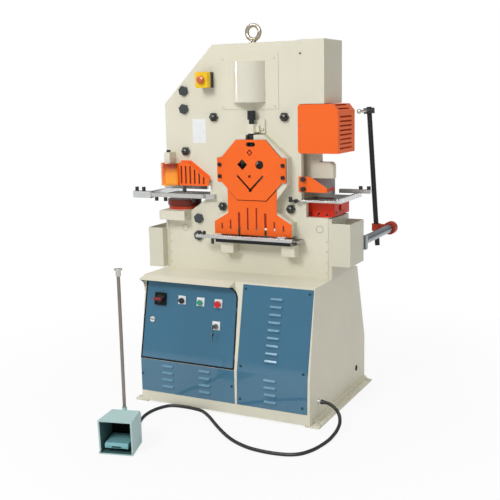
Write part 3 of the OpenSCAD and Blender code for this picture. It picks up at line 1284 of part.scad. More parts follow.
module stop_bar() color("#7F868C") {
  difference() {
    box(x_side, stop_x0 + stop_bar_r + 12, stop_y0 + 2, stop_y0 + 32, stop_z - 36, stop_z + 36);
    y_bar(stop_x0, stop_z, stop_y0, stop_y0 + 40, stop_bar_r);
  }
  y_bar(stop_x0, stop_z, stop_y0, stop_y1, stop_bar_r);
}
clamp_w = 46;
module stop_clamp() color("#8E2A22") difference() {
  union() {
    y_bar(stop_x0, stop_z, post_y - clamp_w/2, post_y + clamp_w/2, stop_bar_r + 13);
    box(post_x, stop_x0, post_y - 12, post_y + 12, stop_z - 18, stop_z + 18);
    translate([post_x, post_y, stop_z - 20]) cylinder(h = 40, r = post_r + 12);
  }
  y_bar(stop_x0, stop_z, post_y - clamp_w, post_y + clamp_w, stop_bar_r + 0.05);
  translate([post_x, post_y, stop_z]) rotate([0, -post_lean, 0]) translate([0, 0, -60]) cylinder(h = 120, r = post_r + 0.05);
}
arm_z = post_l - post_below - 22;
arm_l = 170;
module at_post() translate([post_x, post_y, stop_z]) rotate([0, -post_lean, 0]) children();
module stop_post() color(black) at_post() translate([0, 0, -post_below]) cylinder(h = post_l, r = post_r);
module stop_arm() at_post() {
  color("#C9CCCE") {
    y_bar(0, arm_z, -arm_l, -post_r - 14 + eps, 8);
    translate([0, -arm_l, arm_z]) sphere(r = 14);
  }
  color(black) difference() {
    translate([-post_r - 10, -post_r - 14, arm_z - 16]) cube([2*post_r + 20, 2*post_r + 24, 32]);
    translate([0, 0, arm_z - 20]) cylinder(h = 40, r = post_r + 0.05);
  }
}

// ---------------- foot switch

module at_pedal() translate([pedal_x, pedal_y, 0]) rotate(pedal_turn) children();
// Plan of the hood, narrower at the back, cut in by g
module pedal_plan(g) polygon([[-pedal_w/2 + g, -pedal_d/2 - g*4], [pedal_w/2 - g, -pedal_d/2 - g*4],
  [pedal_back_w/2 - g, pedal_d/2], [-pedal_back_w/2 + g, pedal_d/2]]);
module foot_switch() color("#8FB3B3") at_pedal() {
  difference() {
    union() {
      linear_extrude(10) pedal_plan(0);
      intersection() {
        linear_extrude(pedal_h) pedal_plan(0);
        wide(-pedal_w, pedal_w) polygon([[-pedal_d/2 + 8, 0], [pedal_d/2, 0], [pedal_d/2, pedal_h - 18],
          [pedal_d/2 - 16, pedal_h], [-pedal_d/2, pedal_h]]);
      }
    }
    intersection() {
      translate([0, 0, 6]) linear_extrude(pedal_h) pedal_plan(pedal_wall);
      wide(-pedal_w, pedal_w) polygon([[-pedal_d/2 - 30, 6], [pedal_d/2 - 14, 6], [pedal_d/2 - 14, pedal_h - 26],
        [pedal_d/2 - 28, pedal_h - pedal_wall], [-pedal_d/2 - 30, pedal_h - pedal_wall]]);
    }
    x_bar(treadle_y, treadle_z, -pedal_w, pedal_w, 5.05);
  }
  // socket, rod and knob for carrying
  translate([rod_at[0], rod_at[1], pedal_h - eps]) cylinder(h = 12, r = 12);
  translate([rod_at[0], rod_at[1], pedal_h + 12 - 2*eps]) cylinder(h = rod_l, r = rod_r);
  translate([rod_at[0], rod_at[1], pedal_h + rod_l - 10]) cylinder(h = 20, r = 12);
  translate([rod_at[0], rod_at[1], pedal_h + rod_l + 10 - eps]) rotate_extrude()
    polygon([[0, 0], [12, 0], [12, 6], [19, 8], [19, 14], [0, 17]]);
}
treadle_w = 56;                     // half of the treadle's width
module treadle() color("#5F8C8F") at_pedal() {
  wide(-treadle_w, treadle_w) polygon([[treadle_y + 10, treadle_z - 8],
    [treadle_y + 10, treadle_z + 16], [treadle_y - 6, treadle_z + 22], [-pedal_d/2 + 20, treadle_z + 16],
    [-pedal_d/2 + 10, treadle_z + 8], [-pedal_d/2 + 10, treadle_z - 6]]);
  x_bar(treadle_y, treadle_z, -pedal_back_w/2 + 1, pedal_back_w/2 - 1, 5);
}

// ---------------- cable

// Catmull-Rom point between p1 and p2, t from 0 to 1
function spline(p0, p1, p2, p3, t) = 0.5*(2*p1 + (p2 - p0)*t + (2*p0 - 5*p1 + 4*p2 - p3)*t*t
  + (3*p1 - p0 - 3*p2 + p3)*t*t*t);
function route_pt(i) = cable_route[max(0, min(len(cable_route) - 1, i))];
cable_steps = 2;
cable_line = concat([for (i = [0:len(cable_route) - 2], k = [0:cable_steps - 1])
  spline(route_pt(i - 1), route_pt(i), route_pt(i + 1), route_pt(i + 2), k/cable_steps)],
  [route_pt(len(cable_route) - 1)]);
cable_sides = 10;
function unit(v) = v/norm(v);
function tangent(i) = unit(cable_line[min(i + 1, len(cable_line) - 1)] - cable_line[max(i - 1, 0)]);
function ring_pt(i, a) = let (t = tangent(i), side = unit(cross(t, [0, 0, 1])), up = cross(side, t))
  cable_line[i] + cable_r*(cos(a)*side + sin(a)*up);
// Glands of the cabinet and of the foot switch
module cable_glands() color(black) {
  x_bar(gland_y, gland_z, half_w - sheet_t - 12, half_w + 14, cable_r + 4);
  x_bar(gland_y, gland_z, half_w, half_w + 8, cable_r + 8);
  translate([half_w + 14 - eps, gland_y, gland_z]) rotate([0, 90, 0])
    cylinder(h = gland_l - 14 + eps, r1 = cable_r + 4, r2 = cable_r + 1);
  at_pedal() translate([0, pedal_d/2 + gland_l, switch_z]) rotate([90, 0, 0])
    cylinder(h = gland_l, r1 = cable_r + 1, r2 = cable_r + 4);
}
module switch_cable() color(black) {
  n = len(cable_line);
  polyhedron(
    points = [for (i = [0:n - 1], k = [0:cable_sides - 1]) ring_pt(i, 360*k/cable_sides)],
    faces = concat(
      [[for (k = [0:cable_sides - 1]) k]],
      [for (i = [0:n - 2], k = [0:cable_sides - 1]) [i*cable_sides + k, (i + 1)*cable_sides + k,
        (i + 1)*cable_sides + (k + 1)%cable_sides, i*cable_sides + (k + 1)%cable_sides]],
      [[for (k = [cable_sides - 1:-1:0]) (n - 1)*cable_sides + k]]));
}

floor_rails();
base_cabinet();
lower_left_panel();
right_front_panel();
panel_screws();
door_gasket();
door_hinges();
control_door();
legend_plates();
door_lock();
switch_plate();
switch_handle();
selector_knob();
start_button();
stop_button();
key_switch();
electrical_plate();
oil_tank();
electric_motor();
pressure_pipe();
front_plate();
rear_plate();
tie_bolts();
spacer_tubes();
side_covers();
frame_sheet();
cylinder_cover();
cylinder_barrel();
cylinder_rod();
lifting_eye();
stop_box();
mushroom_button();
shear_housing();
octagon_guard();
skirt_guard();
fixed_blades();
tool_beam();
moving_blades();
hold_down_bracket();
hold_down_knob();
hold_down_foot();
punch_tool();
die_block();
punch_guard();
notch_cover();
notch_guard();
work_tables();
gauge_knobs();
punch_fence();
notch_fence();
shear_stop();
scrap_bins();
stop_bar();
stop_clamp();
stop_post();
stop_arm();
cable_glands();
foot_switch();
treadle();
switch_cable();
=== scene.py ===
import bpy
import bmesh
import math
from mathutils import Matrix, Vector


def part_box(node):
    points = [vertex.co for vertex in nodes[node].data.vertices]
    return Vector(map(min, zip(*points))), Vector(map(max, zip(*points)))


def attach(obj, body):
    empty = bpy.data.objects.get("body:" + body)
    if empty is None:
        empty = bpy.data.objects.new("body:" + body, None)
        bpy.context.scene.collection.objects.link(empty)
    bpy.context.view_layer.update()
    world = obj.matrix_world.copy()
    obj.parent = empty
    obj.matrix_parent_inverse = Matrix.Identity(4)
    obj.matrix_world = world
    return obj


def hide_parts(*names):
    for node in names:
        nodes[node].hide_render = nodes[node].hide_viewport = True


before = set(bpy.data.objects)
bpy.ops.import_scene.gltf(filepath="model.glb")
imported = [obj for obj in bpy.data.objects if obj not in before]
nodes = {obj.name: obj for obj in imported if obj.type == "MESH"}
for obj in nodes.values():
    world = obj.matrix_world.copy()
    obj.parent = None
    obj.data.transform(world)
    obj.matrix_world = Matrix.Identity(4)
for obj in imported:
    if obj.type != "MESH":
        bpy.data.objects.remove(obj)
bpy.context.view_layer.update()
scene = bpy.context.scene
scene.view_settings.view_transform = "Standard"

X, Y, Z = 0, 1, 2
WHITE = (1, 1, 1, 1)


# ---------------------------------------------------------------- measures of the part, in metres
def low(name):
    """Corner of a node's box with the smallest coordinates."""
    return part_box(name)[0]


def high(name):
    """Corner of a node's box with the largest coordinates."""
    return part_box(name)[1]


def middle(name):
    """Middle of a node's box."""
    return (low(name) + high(name)) / 2


FACE_Y = low("front_plate").y                       # front face of the frame plate
HOUSING_Y = low("shear_housing").y                  # front face of the shear housing
PUNCH_MID = middle("punch_tool")
SHEAR_MID = middle("octagon_guard")
SIDE_TABLE_TOP = high("punch_fence").z - 0.0323
SHEAR_TABLE_TOP = 0.878
NOTCH_SEAT = 0.990                                  # underside of the notching die
BOLSTER_TOP = low("die_block").z + 0.050            # upper face under the punch die
WINDOW_HEIGHT = 0.118                               # amber window of the punch guard
WINDOW_LOW = low("punch_guard").z
WINDOW_TOP = WINDOW_LOW + WINDOW_HEIGHT
LEAN = math.radians(9.673)                          # lean of the cabinet's front wall
OUT = Vector((0, -math.cos(LEAN), math.sin(LEAN)))  # out of that wall

# foot switch: its place and turn on the floor, and the top of its rod's socket
PEDAL_AT = Vector((-0.222, -0.967, 0))
TURN = math.radians(14)
SOCKET_TOP = 0.1725

# ---------------------------------------------------------------- camera, fitted to the photograph
CAMERA_AT = (2.015, -4.053, 1.600)
YAW, PITCH, ROLL = (math.radians(v) for v in (26.72, 10.22, -1.12))
LENS, SENSOR = 61.78, 36                            # millimetres
CLIP_END = 60


def make_camera():
    fwd = Vector((-math.sin(YAW) * math.cos(PITCH), math.cos(YAW) * math.cos(PITCH),
                  -math.sin(PITCH)))
    right = Vector((math.cos(YAW), math.sin(YAW), 0))
    down = fwd.cross(right)
    c, s = math.cos(ROLL), math.sin(ROLL)
    across, drop = c * right - s * down, s * right + c * down
    data = bpy.data.cameras.new("camera")
    data.lens, data.sensor_width = LENS, SENSOR
    data.clip_end = CLIP_END
    cam = bpy.data.objects.new("camera", data)
    scene.collection.objects.link(cam)
    turn = Matrix((across, -drop, -fwd)).transposed().to_4x4()
    cam.matrix_world = Matrix.Translation(CAMERA_AT) @ turn
    scene.camera = cam


make_camera()


# ---------------------------------------------------------------- shader helpers
def rgb(code, gain=1.0):
    """Linear colour of a hex code, made brighter or darker by gain."""
    vals = [int(code[i:i + 2], 16) / 255 for i in (1, 3, 5)]
    linear = [v / 12.92 if v <= 0.04045 else ((v + 0.055) / 1.055) ** 2.4 for v in vals]
    return tuple(min(1.0, v * gain) for v in linear) + (1,)


class Tree:
    """Short calls for the nodes of a material or of the world."""

    def __init__(self, owner):
        owner.use_nodes = True
        self.tree = owner.node_tree
        self.tree.nodes.clear()

    def add(self, kind):
        return self.tree.nodes.new("ShaderNode" + kind)

    def link(self, a, b):
        self.tree.links.new(a, b)

    def coords(self, kind="Object"):
        return self.add("TexCoord").outputs[kind]

    def split(self, vector):
        """The three numbers of a vector."""
        s = self.add("SeparateXYZ")
        self.link(vector, s.inputs[0])
        return s.outputs

    def span(self, value, a, b, to_a, to_b):
        """value, spread from the range a to b over the range to_a to to_b."""
        m = self.add("MapRange")
        for i, v in enumerate((a, b, to_a, to_b)):
            m.inputs[i + 1].default_value = v
        self.link(value, m.inputs[0])
        return m.outputs[0]

    def math(self, op, a, b=None):
        m = self.add("Math")
        m.operation = op
        for i, v in enumerate((a, b)):
            if isinstance(v, (int, float)):
                m.inputs[i].default_value = v
            elif v is not None:
                self.link(v, m.inputs[i])
        return m.outputs[0]


class Shader(Tree):
    """A material with a Principled BSDF, and short calls for what leads into it."""

    def __init__(self, name, **settings):
        self.mat = bpy.data.materials.new(name)
        super().__init__(self.mat)
        self.bsdf = self.add("BsdfPrincipled")
        self.link(self.bsdf.outputs[0], self.add("OutputMaterial").inputs[0])
        self.coord = self.coords()
        for key, value in settings.items():
            self.bsdf.inputs[key.replace("_", " ")].default_value = value

    def noise(self, scale, detail=3.0, rough=0.55, vector=None):
        n = self.add("TexNoise")
        n.inputs["Scale"].default_value = scale
        n.inputs["Detail"].default_value = detail
        n.inputs["Roughness"].default_value = rough
        self.link(vector or self.coord, n.inputs["Vector"])
        return n.outputs[0]

    def wander(self, a, b, *noise):
        """A value that wanders between a and b with a noise."""
        return self.span(self.noise(*noise), 0.3, 0.7, a, b)

    def stretch(self, scale):
        m = self.add("Mapping")
        m.inputs["Scale"].default_value = scale
        self.link(self.coord, m.inputs["Vector"])
        return m.outputs[0]

    def mix(self, factor, a, b):
        m = self.add("Mix")
        m.data_type = "RGBA"
        self.link(factor, m.inputs[0])
        for i, v in ((6, a), (7, b)):
            if isinstance(v, tuple):
                m.inputs[i].default_value = v
            else:
                self.link(v, m.inputs[i])
        return m.outputs[2]

    def bump(self, height, strength, distance):
        b = self.add("Bump")
        b.inputs["Strength"].default_value = strength
        b.inputs["Distance"].default_value = distance
        self.link(height, b.inputs["Height"])
        normal = self.bsdf.inputs["Normal"]
        if normal.links:
            self.link(normal.links[0].from_socket, b.inputs["Normal"])
        self.link(b.outputs[0], normal)

    def edge(self, radius):
        """Rounds the edges in shading, as folding, casting or deburring leaves them."""
        b = self.add("Bevel")
        b.samples = 6
        b.inputs["Radius"].default_value = radius
        self.link(b.outputs[0], self.bsdf.inputs["Normal"])

    def color(self, socket):
        self.link(socket, self.bsdf.inputs["Base Color"])

    def rough(self, socket):
        self.link(socket, self.bsdf.inputs["Roughness"])


PAINT_EDGE, STEEL_EDGE, PLASTIC_EDGE = 0.0016, 0.0009, 0.0011   # radii of rounded edges
CLOUDING = 2.3, 5, 0.6              # noise of faint colour differences: scale, detail, roughness
PATCHES = 16, 4, 0.65               # noise of the sheen


def paint(name, code, rough=0.38, vary=0.05, peel=0.10, grain=420, coat=0.0, speck=0.0,
          sheen=0.12, patchy=1.0):
    """Stoved paint: faint clouding, a fine orange peel, and a sheen that varies in patches."""
    s = Shader(name, Coat_Weight=coat, Coat_Roughness=sheen, Specular_IOR_Level=0.30)
    s.edge(PAINT_EDGE)
    tone = s.mix(s.wander(0, 1, *CLOUDING), rgb(code, 1 - vary), rgb(code, 1 + vary))
    fine = s.noise(grain * 1.7, 2, 0.7)
    s.color(s.mix(s.span(fine, 0.25, 0.75, 0, 0.5 + speck), tone, rgb(code, 1.02 + speck)))
    s.rough(s.wander(rough - 0.05 * patchy, rough + 0.07 * patchy, *PATCHES))
    s.bump(s.noise(grain, 2, 0.5), peel, 0.0004)
    s.bump(s.noise(6, 2, 0.5), 0.05, 0.004)
    return s.mat


def steel(name, code, rough=0.3, along=X, streak=0.35, tint=0.10, metallic=1.0):
    """Ground or turned steel: fine lines along one axis, over faint clouding."""
    s = Shader(name, Metallic=metallic)
    s.edge(STEEL_EDGE)
    scale = [420.0, 420.0, 420.0]
    scale[along] = 7.0
    lines = s.noise(1.0, 4, 0.7, s.stretch(scale))
    cloud = s.noise(9, 5, 0.65)
    tone = s.mix(s.span(lines, 0.25, 0.75, 0, 1), rgb(code, 1 - tint), rgb(code, 1 + tint))
    s.color(s.mix(s.span(cloud, 0.45, 0.75, 0, 0.35), tone, rgb(code, 0.62)))
    s.rough(s.math("ADD", s.span(lines, 0.2, 0.8, rough - 0.07, rough + 0.09),
                   s.span(cloud, 0.3, 0.7, -0.03, 0.05)))
    s.bump(lines, streak, 0.0002)
    return s.mat


def plastic(name, code, rough=0.3, grain=0.10, coat=0.0, size=900):
    """Moulded plastic: even colour with a fine eroded texture."""
    s = Shader(name, Coat_Weight=coat, Coat_Roughness=0.06)
    s.edge(PLASTIC_EDGE)
    s.color(s.mix(s.wander(0, 1, 30, 3), rgb(code, 0.95), rgb(code, 1.05)))
    s.rough(s.wander(rough - 0.04, rough + 0.06, 70, 3))
    s.bump(s.noise(size, 2), grain, 0.0002)
    return s.mat


def amber_window():
    """Tinted clear plastic, shaded dark red towards its top, but not along its left edge."""
    shade_left, shade_width = PUNCH_MID.x - 0.046, 0.018
    shade_low, shade_high = WINDOW_TOP - 0.056, WINDOW_TOP - 0.012
    s = Shader("amber_window", Transmission_Weight=0.80, IOR=1.30, Coat_Weight=0.5,
               Coat_Roughness=0.06)
    x, _, z = s.split(s.coord)
    warm = s.mix(s.span(z, WINDOW_LOW, WINDOW_TOP, 0, 1), rgb("#FFB030"), rgb("#F58A1C"))
    shade = s.math("MULTIPLY", s.span(z, shade_low, shade_high, 0, 0.9),
                   s.span(x, shade_left, shade_left + shade_width, 0, 1))
    s.color(s.mix(shade, warm, rgb("#A3260E")))
    s.rough(s.wander(0.10, 0.22, 25, 3))
    s.bump(s.noise(60, 2), 0.04, 0.001)
    return s.mat


def shaded_die_paint():
    """Punch die: brighter red on its foot, and darker red on the holder above as painted shade
    under the table.
    """
    foot_top, blend = BOLSTER_TOP + 0.0145, 0.002
    s = Shader("punch_die_shaded_paint", Specular_IOR_Level=0.35)
    s.edge(PAINT_EDGE)
    z = s.split(s.coord)[Z]
    holder = s.mix(s.wander(0, 1, *CLOUDING), rgb("#611A0B"), rgb("#7A2511"))
    s.color(s.mix(s.span(z, foot_top, foot_top + blend, 0, 1), rgb("#C03A1B"), holder))
    s.rough(s.wander(0.33, 0.46, *PATCHES))
    s.bump(s.noise(260, 2, 0.5), 0.30, 0.0004)
    return s.mat


def ruler_finish():
    """Pale strip with a dark tick every 5 mm."""
    s = Shader("ruler", Specular_IOR_Level=0.4)
    x, y, _ = s.split(s.coord)
    step = s.math("FRACT", s.math("MULTIPLY", s.math("ADD", x, y), 200.0))
    tick = s.math("LESS_THAN", step, 0.16)
    dust = s.span(s.noise(60, 3), 0.35, 0.7, 0, 0.12)
    s.color(s.mix(s.math("MAXIMUM", tick, dust), rgb("#E9E8E2"), rgb("#3A3A38")))
    s.rough(s.wander(0.25, 0.38, 40, 2))
    return s.mat


cream = paint("cream_paint", "#DDD9C6", 0.40)
cream_gloss = paint("cream_gloss", "#DDD9C8", 0.22, coat=0.6, peel=0.03, sheen=0.07)
cream_dull = paint("cream_side_parts", "#D5D2C0", 0.42)
blue = paint("blue_paint", "#3E708B", 0.31, vary=0.06, peel=0.03, speck=0.03, coat=0.9,
             sheen=0.04, patchy=0.15)
# lighter blue for the louvres' upward faces: a painted highlight
louver_highlight_blue = paint("louver_highlight_paint", "#5F90A9", 0.14, vary=0.05, coat=0.9, peel=0.03)
orange = paint("orange_paint", "#F5671A", 0.42, vary=0.04)
red_paint = paint("dark_red_paint", "#BA351B", 0.45, vary=0.10, peel=0.30, grain=260)
notch_red = paint("notch_die_paint", "#E8381A", 0.42, vary=0.10, peel=0.30, grain=260)
guard_red = paint("guard_red_paint", "#C7401C", 0.42, vary=0.08)
# dark red standing for orange in shade: inside the punch guard, on the octagon guard's walls and
# under it
shade_red = paint("guard_shade_paint", "#4A1209", 0.55, vary=0.12)
# crimson of orange in shade, for the walls of the bar openings and the sheet seen through the
# guard's small openings
opening_shade_red = paint("opening_shade_paint", "#B5361F", 0.45, vary=0.08)
slot_shade_red = paint("skirt_slot_shade_paint", "#96240D", 0.5, vary=0.12)
grip_red = paint("switch_grip", "#8A2F38", 0.35, vary=0.05)
teal = paint("pedal_paint", "#AFCDCB", 0.42, vary=0.09, peel=0.45, grain=190, speck=0.05)
teal_dark = paint("treadle_paint", "#79B4BA", 0.45, vary=0.10, peel=0.40, grain=240)
# darker teal for the walls inside the foot switch's hood: painted shade
teal_shaded_inside = paint("pedal_inside_shade_paint", "#47686A", 0.55, vary=0.12, peel=0.3, grain=190)
barrel_paint = paint("barrel_paint", "#6E7478", 0.4)
tank_paint = paint("tank_paint", "#8A9096", 0.45)
# near black for the black rubber gasket, and as painted shade in holes, slots, gaps and inside the
# foot switch's hood
dark_and_shade = paint("black_and_painted_shade", "#0A0C0D", 0.75, vary=0.2)
seam_grey = paint("seam_shadow", "#6E6B5B", 0.6, vary=0.1)
# blackened steel for dark parts, also laid as painted shade on the shear table's front edge
black_oxide_and_shade = paint("blackened_steel_and_shade", "#1F2224", 0.36, vary=0.16, peel=0.18, grain=600)
grey_nut = paint("nut_grey", "#42474A", 0.34, vary=0.12, peel=0.16, grain=500)
ground = steel("ground_steel_x", "#C6C5C2", 0.17, X, 0.15)
ground_y = steel("ground_steel_y", "#D2D4D4", 0.17, Y, 0.15)
table_steel = steel("table_steel", "#7F7A73", 0.36, Y, 0.3, 0.14)
chrome = steel("chrome", "#E2E4E5", 0.16, X, 0.03, 0.03)
rod_steel = steel("rod_steel", "#8D857F", 0.30, Z, 0.1)
machined = steel("machined_steel", "#85898C", 0.36, Z)
bright = steel("polished_steel", "#C9C6BE", 0.20, Z, 0.08, 0.06)
eye_steel = steel("eye_steel", "#AFA695", 0.26, Z, 0.15, 0.10)
tube_steel = steel("turned_bar", "#8E969C", 0.30, Y, 0.5)
blade_steel = steel("blade_steel", "#8B8D8C", 0.42, X, 0.3, 0.22)
galvanised = steel("zinc_plate", "#A3A8AB", 0.42, Z, 0.15, 0.12)
panel_screw = steel("panel_screw", "#33505E", 0.35, Z)
lock_zinc = steel("lock_zinc", "#E6E7E6", 0.30, Z, 0.1, 0.05, metallic=0.35)
black_gloss = plastic("black_gloss", "#08090A", 0.15, grain=0.02, coat=0.15)
dome_black = plastic("dome_nut", "#040505", 0.30, grain=0.02, coat=0.45)
black_plastic = plastic("black_plastic", "#1A1B1D", 0.40, grain=0.14)
rubber = plastic("black_rubber", "#111214", 0.50, grain=0.22, size=1500)
red_plastic = plastic("red_plastic", "#C9252A", 0.25, grain=0.04, coat=0.3)
stop_red = plastic("stop_red", "#CB5F36", 0.30, grain=0.05, coat=0.25)
green_plastic = plastic("green_plastic", "#2E8F78", 0.25, grain=0.04, coat=0.3)
yellow_plastic = plastic("yellow_plastic", "#F3C60E", 0.34)
white_plate = plastic("white_plate", "#E9EBEB", 0.32, grain=0.05)
pale_plastic = plastic("pale_plastic", "#B9BDB8", 0.45)
amber = amber_window()
die_red_shaded = shaded_die_paint()
ruler = ruler_finish()


# ---------------------------------------------------------------- finishes of the CAD's solids
def finish_node(name, base, *rules):
    """base on the whole node, and each rule's material where its test of a face's middle c and
    normal n holds. The first rule that holds decides."""
    me = nodes[name].data
    me.materials.clear()
    for m in [base] + [r[0] for r in rules]:
        me.materials.append(m)
    for p in me.polygons:
        hits = (i + 1 for i, r in enumerate(rules) if r[1](p.center, p.normal))
        p.material_index = next(hits, 0)


for material, names in (
        (cream, "floor_rails base_cabinet front_plate rear_plate frame_sheet tool_beam"),
        (cream, "hold_down_bracket"),
        (cream_dull, "side_covers scrap_bins"),
        (blue, "control_door electric_motor"),
        (orange, "skirt_guard notch_cover"),
        (red_paint, "stop_clamp"),
        (teal_dark, "treadle"),
        (barrel_paint, "cylinder_barrel"),
        (tank_paint, "oil_tank"),
        (dark_and_shade, "door_gasket"),
        (black_oxide_and_shade, "door_hinges hold_down_knob hold_down_foot stop_post"),
        (ground, "punch_fence shear_stop"),
        (machined, "key_switch spacer_tubes pressure_pipe"),
        (bright, "cylinder_rod"),
        (eye_steel, "lifting_eye"),
        (tube_steel, "stop_bar"),
        (blade_steel, "fixed_blades moving_blades punch_tool"),
        (panel_screw, "panel_screws"),
        (white_plate, "legend_plates"),
        (black_gloss, "switch_plate"),
        (black_plastic, "selector_knob gauge_knobs"),
        (green_plastic, "start_button"),
        (red_plastic, "stop_button"),
        (stop_red, "mushroom_button")):
    for name in names.split():
        finish_node(name, material)


def depth_below_front(name):
    """Test of how far a face lies behind the front of a node on the leaning wall."""
    front = max(v.co.dot(OUT) for v in nodes[name].data.vertices)
    return lambda c: front - c.dot(OUT)


# cabinet: louvres on the panels, their upward faces a lighter blue as painted highlight, the slot
# of the lock, the grip of the main switch
for name in ("lower_left_panel", "right_front_panel"):
    finish_node(name, blue, (louver_highlight_blue, lambda c, n: n.z > 0.45 and n.y < -0.3))
# the lock's key slot is painted near black as shade
lock_depth = depth_below_front("door_lock")
finish_node("door_lock", lock_zinc, (dark_and_shade, lambda c, n: 0.0005 < lock_depth(c) < 0.0024))
switch_depth = depth_below_front("switch_handle")
finish_node("switch_handle", black_plastic, (grip_red, lambda c, n: switch_depth(c) < 0.0135))

# electrical plate: what stands on it, in front of its face
PLATE_Y = -0.1505
finish_node("electrical_plate", galvanised,
            (black_plastic, lambda c, n: c.y < PLATE_Y and c.z > 0.495 and c.x < 0.05),
            (pale_plastic, lambda c, n: c.y < PLATE_Y and c.z < 0.37 and c.x < 0.05),
            (red_paint, lambda c, n: c.y < PLATE_Y and c.x < -0.30))

# frame: the cylinder's cover in front of its flange, the stop box on its base, the nuts that have
# a black dome
FLANGE_Y, STOP_BASE_Y = FACE_Y - 0.0035, FACE_Y - 0.0345
finish_node("cylinder_cover", cream, (cream_gloss, lambda c, n: c.y < FLANGE_Y))
finish_node("stop_box", black_plastic, (yellow_plastic, lambda c, n: c.y < STOP_BASE_Y))
DOME_R = 0.036
DOMES = [Vector((x, FACE_Y, z)) for x, z in
         ((-0.166, 1.492), (0.236, 1.490), (-0.341, 1.314), (-0.125, 1.028), (0.266, 1.029))]
finish_node("tie_bolts", grey_nut,
            (dome_black, lambda c, n: any((c - d).length < DOME_R for d in DOMES)))

# shear station
EAR_X, EAR_Z, EAR_DZ, EAR_R = 0.178, 1.223, 0.030, 0.0115   # four screws on the octagon's ears
EAR_Y = HOUSING_Y - 0.0081                                  # in front of the guard's sheet
OPENINGS_HALF = 0.100, 0.125                                # half the field of the openings
SHEET_BACK = HOUSING_Y + 0.009


def near_ear_screw(c, n):
    dx = abs(abs(c.x - SHEAR_MID.x) - EAR_X)
    dz = abs(abs(c.z - EAR_Z) - EAR_DZ)
    return c.y < EAR_Y and math.hypot(dx, dz) < EAR_R


def is_wall(c, n):
    """Walls of an opening, which don't face the front or the back."""
    return abs(n.y) < 0.5


def in_opening(c, n):
    """Walls of the openings for bar stock, in the guard and in the housing's front sheet."""
    wide, tall = OPENINGS_HALF
    near = abs(c.x - SHEAR_MID.x) < wide and abs(c.z - SHEAR_MID.z) < tall
    return is_wall(c, n) and near and c.y < SHEET_BACK


# the walls of the bar openings are painted crimson and the guard's other walls dark red, as
# painted shade
finish_node("octagon_guard", orange, (black_oxide_and_shade, near_ear_screw), (opening_shade_red, in_opening),
            (shade_red, is_wall))
finish_node("shear_housing", cream, (opening_shade_red, in_opening))

# punching and notching stations
DIE_TOP = BOLSTER_TOP + 0.0525
NOTCH_DIE_X, PUNCH_DIE_X = 0.2, -0.2
finish_node("die_block", cream,
            (notch_red, lambda c, n: c.x > NOTCH_DIE_X and c.z > NOTCH_SEAT - 0.0001),
            (die_red_shaded, lambda c, n: c.x < PUNCH_DIE_X and BOLSTER_TOP + 0.0002 < c.z < DIE_TOP))
WINDOW_RIGHT = PUNCH_MID.x + 0.0295
finish_node("punch_guard", orange,
            (black_plastic, lambda c, n: c.z > WINDOW_TOP + 0.0585),
            (cream, lambda c, n: c.z > WINDOW_TOP + 0.0015 and c.x < PUNCH_MID.x),
            (amber, lambda c, n: c.x < WINDOW_RIGHT and c.z < WINDOW_TOP + 0.001))
finish_node("notch_guard", orange,
            (black_plastic, lambda c, n: c.y < FACE_Y - 0.0122),
            (guard_red, lambda c, n: c.y > FACE_Y - 0.0088))

# tables, rails and stops
BRACKET_TOP, EDGE_TOP = 0.8519, 0.8735      # of the shear table: its brackets, its dark front edge
LEFT_RAIL, RIGHT_RAIL, RIGHT_RAIL_Z = -0.56, 0.5165, 1.0    # where the side rails begin
FENCE_KNOB_Z = high("notch_fence").z - 0.0168
ARM_BLOCK_Y = 0.6055                        # where the stop arm's block on the post begins
GLAND_RING = 0.4839, 0.4986                 # plated part of the cabinet's gland


def on_table_top(c, n):
    tops = (SIDE_TABLE_TOP, SHEAR_TABLE_TOP)
    return n.z > 0.9 and any(abs(c.z - top) < 0.0004 for top in tops)


# on the shear table, front faces below its top edge are painted near black as shade under the rail
finish_node("work_tables", ground,
            (cream, lambda c, n: c.z < BRACKET_TOP),
            (black_oxide_and_shade, lambda c, n: c.z < EDGE_TOP and n.y < -0.5),
            (table_steel, on_table_top),
            (ground_y, lambda c, n: c.x < LEFT_RAIL or (c.x > RIGHT_RAIL and c.z > RIGHT_RAIL_Z)))
finish_node("notch_fence", ground, (black_plastic, lambda c, n: c.z > FENCE_KNOB_Z))
finish_node("stop_arm", bright, (black_plastic, lambda c, n: c.y > ARM_BLOCK_Y))
finish_node("cable_glands", black_plastic,
            (chrome, lambda c, n: GLAND_RING[0] < c.x < GLAND_RING[1]))

# foot switch: inside its hood, the walls are a darker teal and the underside and back near black,
# as painted shade
HOOD_TOP, HOOD_LOW = SOCKET_TOP - 0.0135, 0.0052    # faces above or below these are outside
HOOD_FRONT, HOOD_BACK = -0.097, 0.078
HOOD_HALF, HOOD_TAPER = 0.0715, 11
ROD_TOP = high("foot_switch").z - 0.040             # where the knob begins


def pedal_uv(c):
    """Place across and along the foot switch."""
    d = c - PEDAL_AT
    return (d.x * math.cos(TURN) + d.y * math.sin(TURN),
            d.y * math.cos(TURN) - d.x * math.sin(TURN))


def in_hood(c, n):
    u, v = pedal_uv(c)
    outer = 0.1 < n.z < 0.9 or c.z > HOOD_TOP or c.z < HOOD_LOW
    return abs(u) < HOOD_HALF - v / HOOD_TAPER and HOOD_FRONT < v < HOOD_BACK and not outer


finish_node("foot_switch", teal,
            (rod_steel, lambda c, n: SOCKET_TOP < c.z < ROD_TOP),
            (bright, lambda c, n: c.z > SOCKET_TOP),
            (dark_and_shade, lambda c, n: in_hood(c, n) and (n.z < -0.2 or pedal_uv(c)[1] > 0.040)),
            (teal_shaded_inside, lambda c, n: in_hood(c, n) and abs(n.x) + abs(n.z) > 0.5))

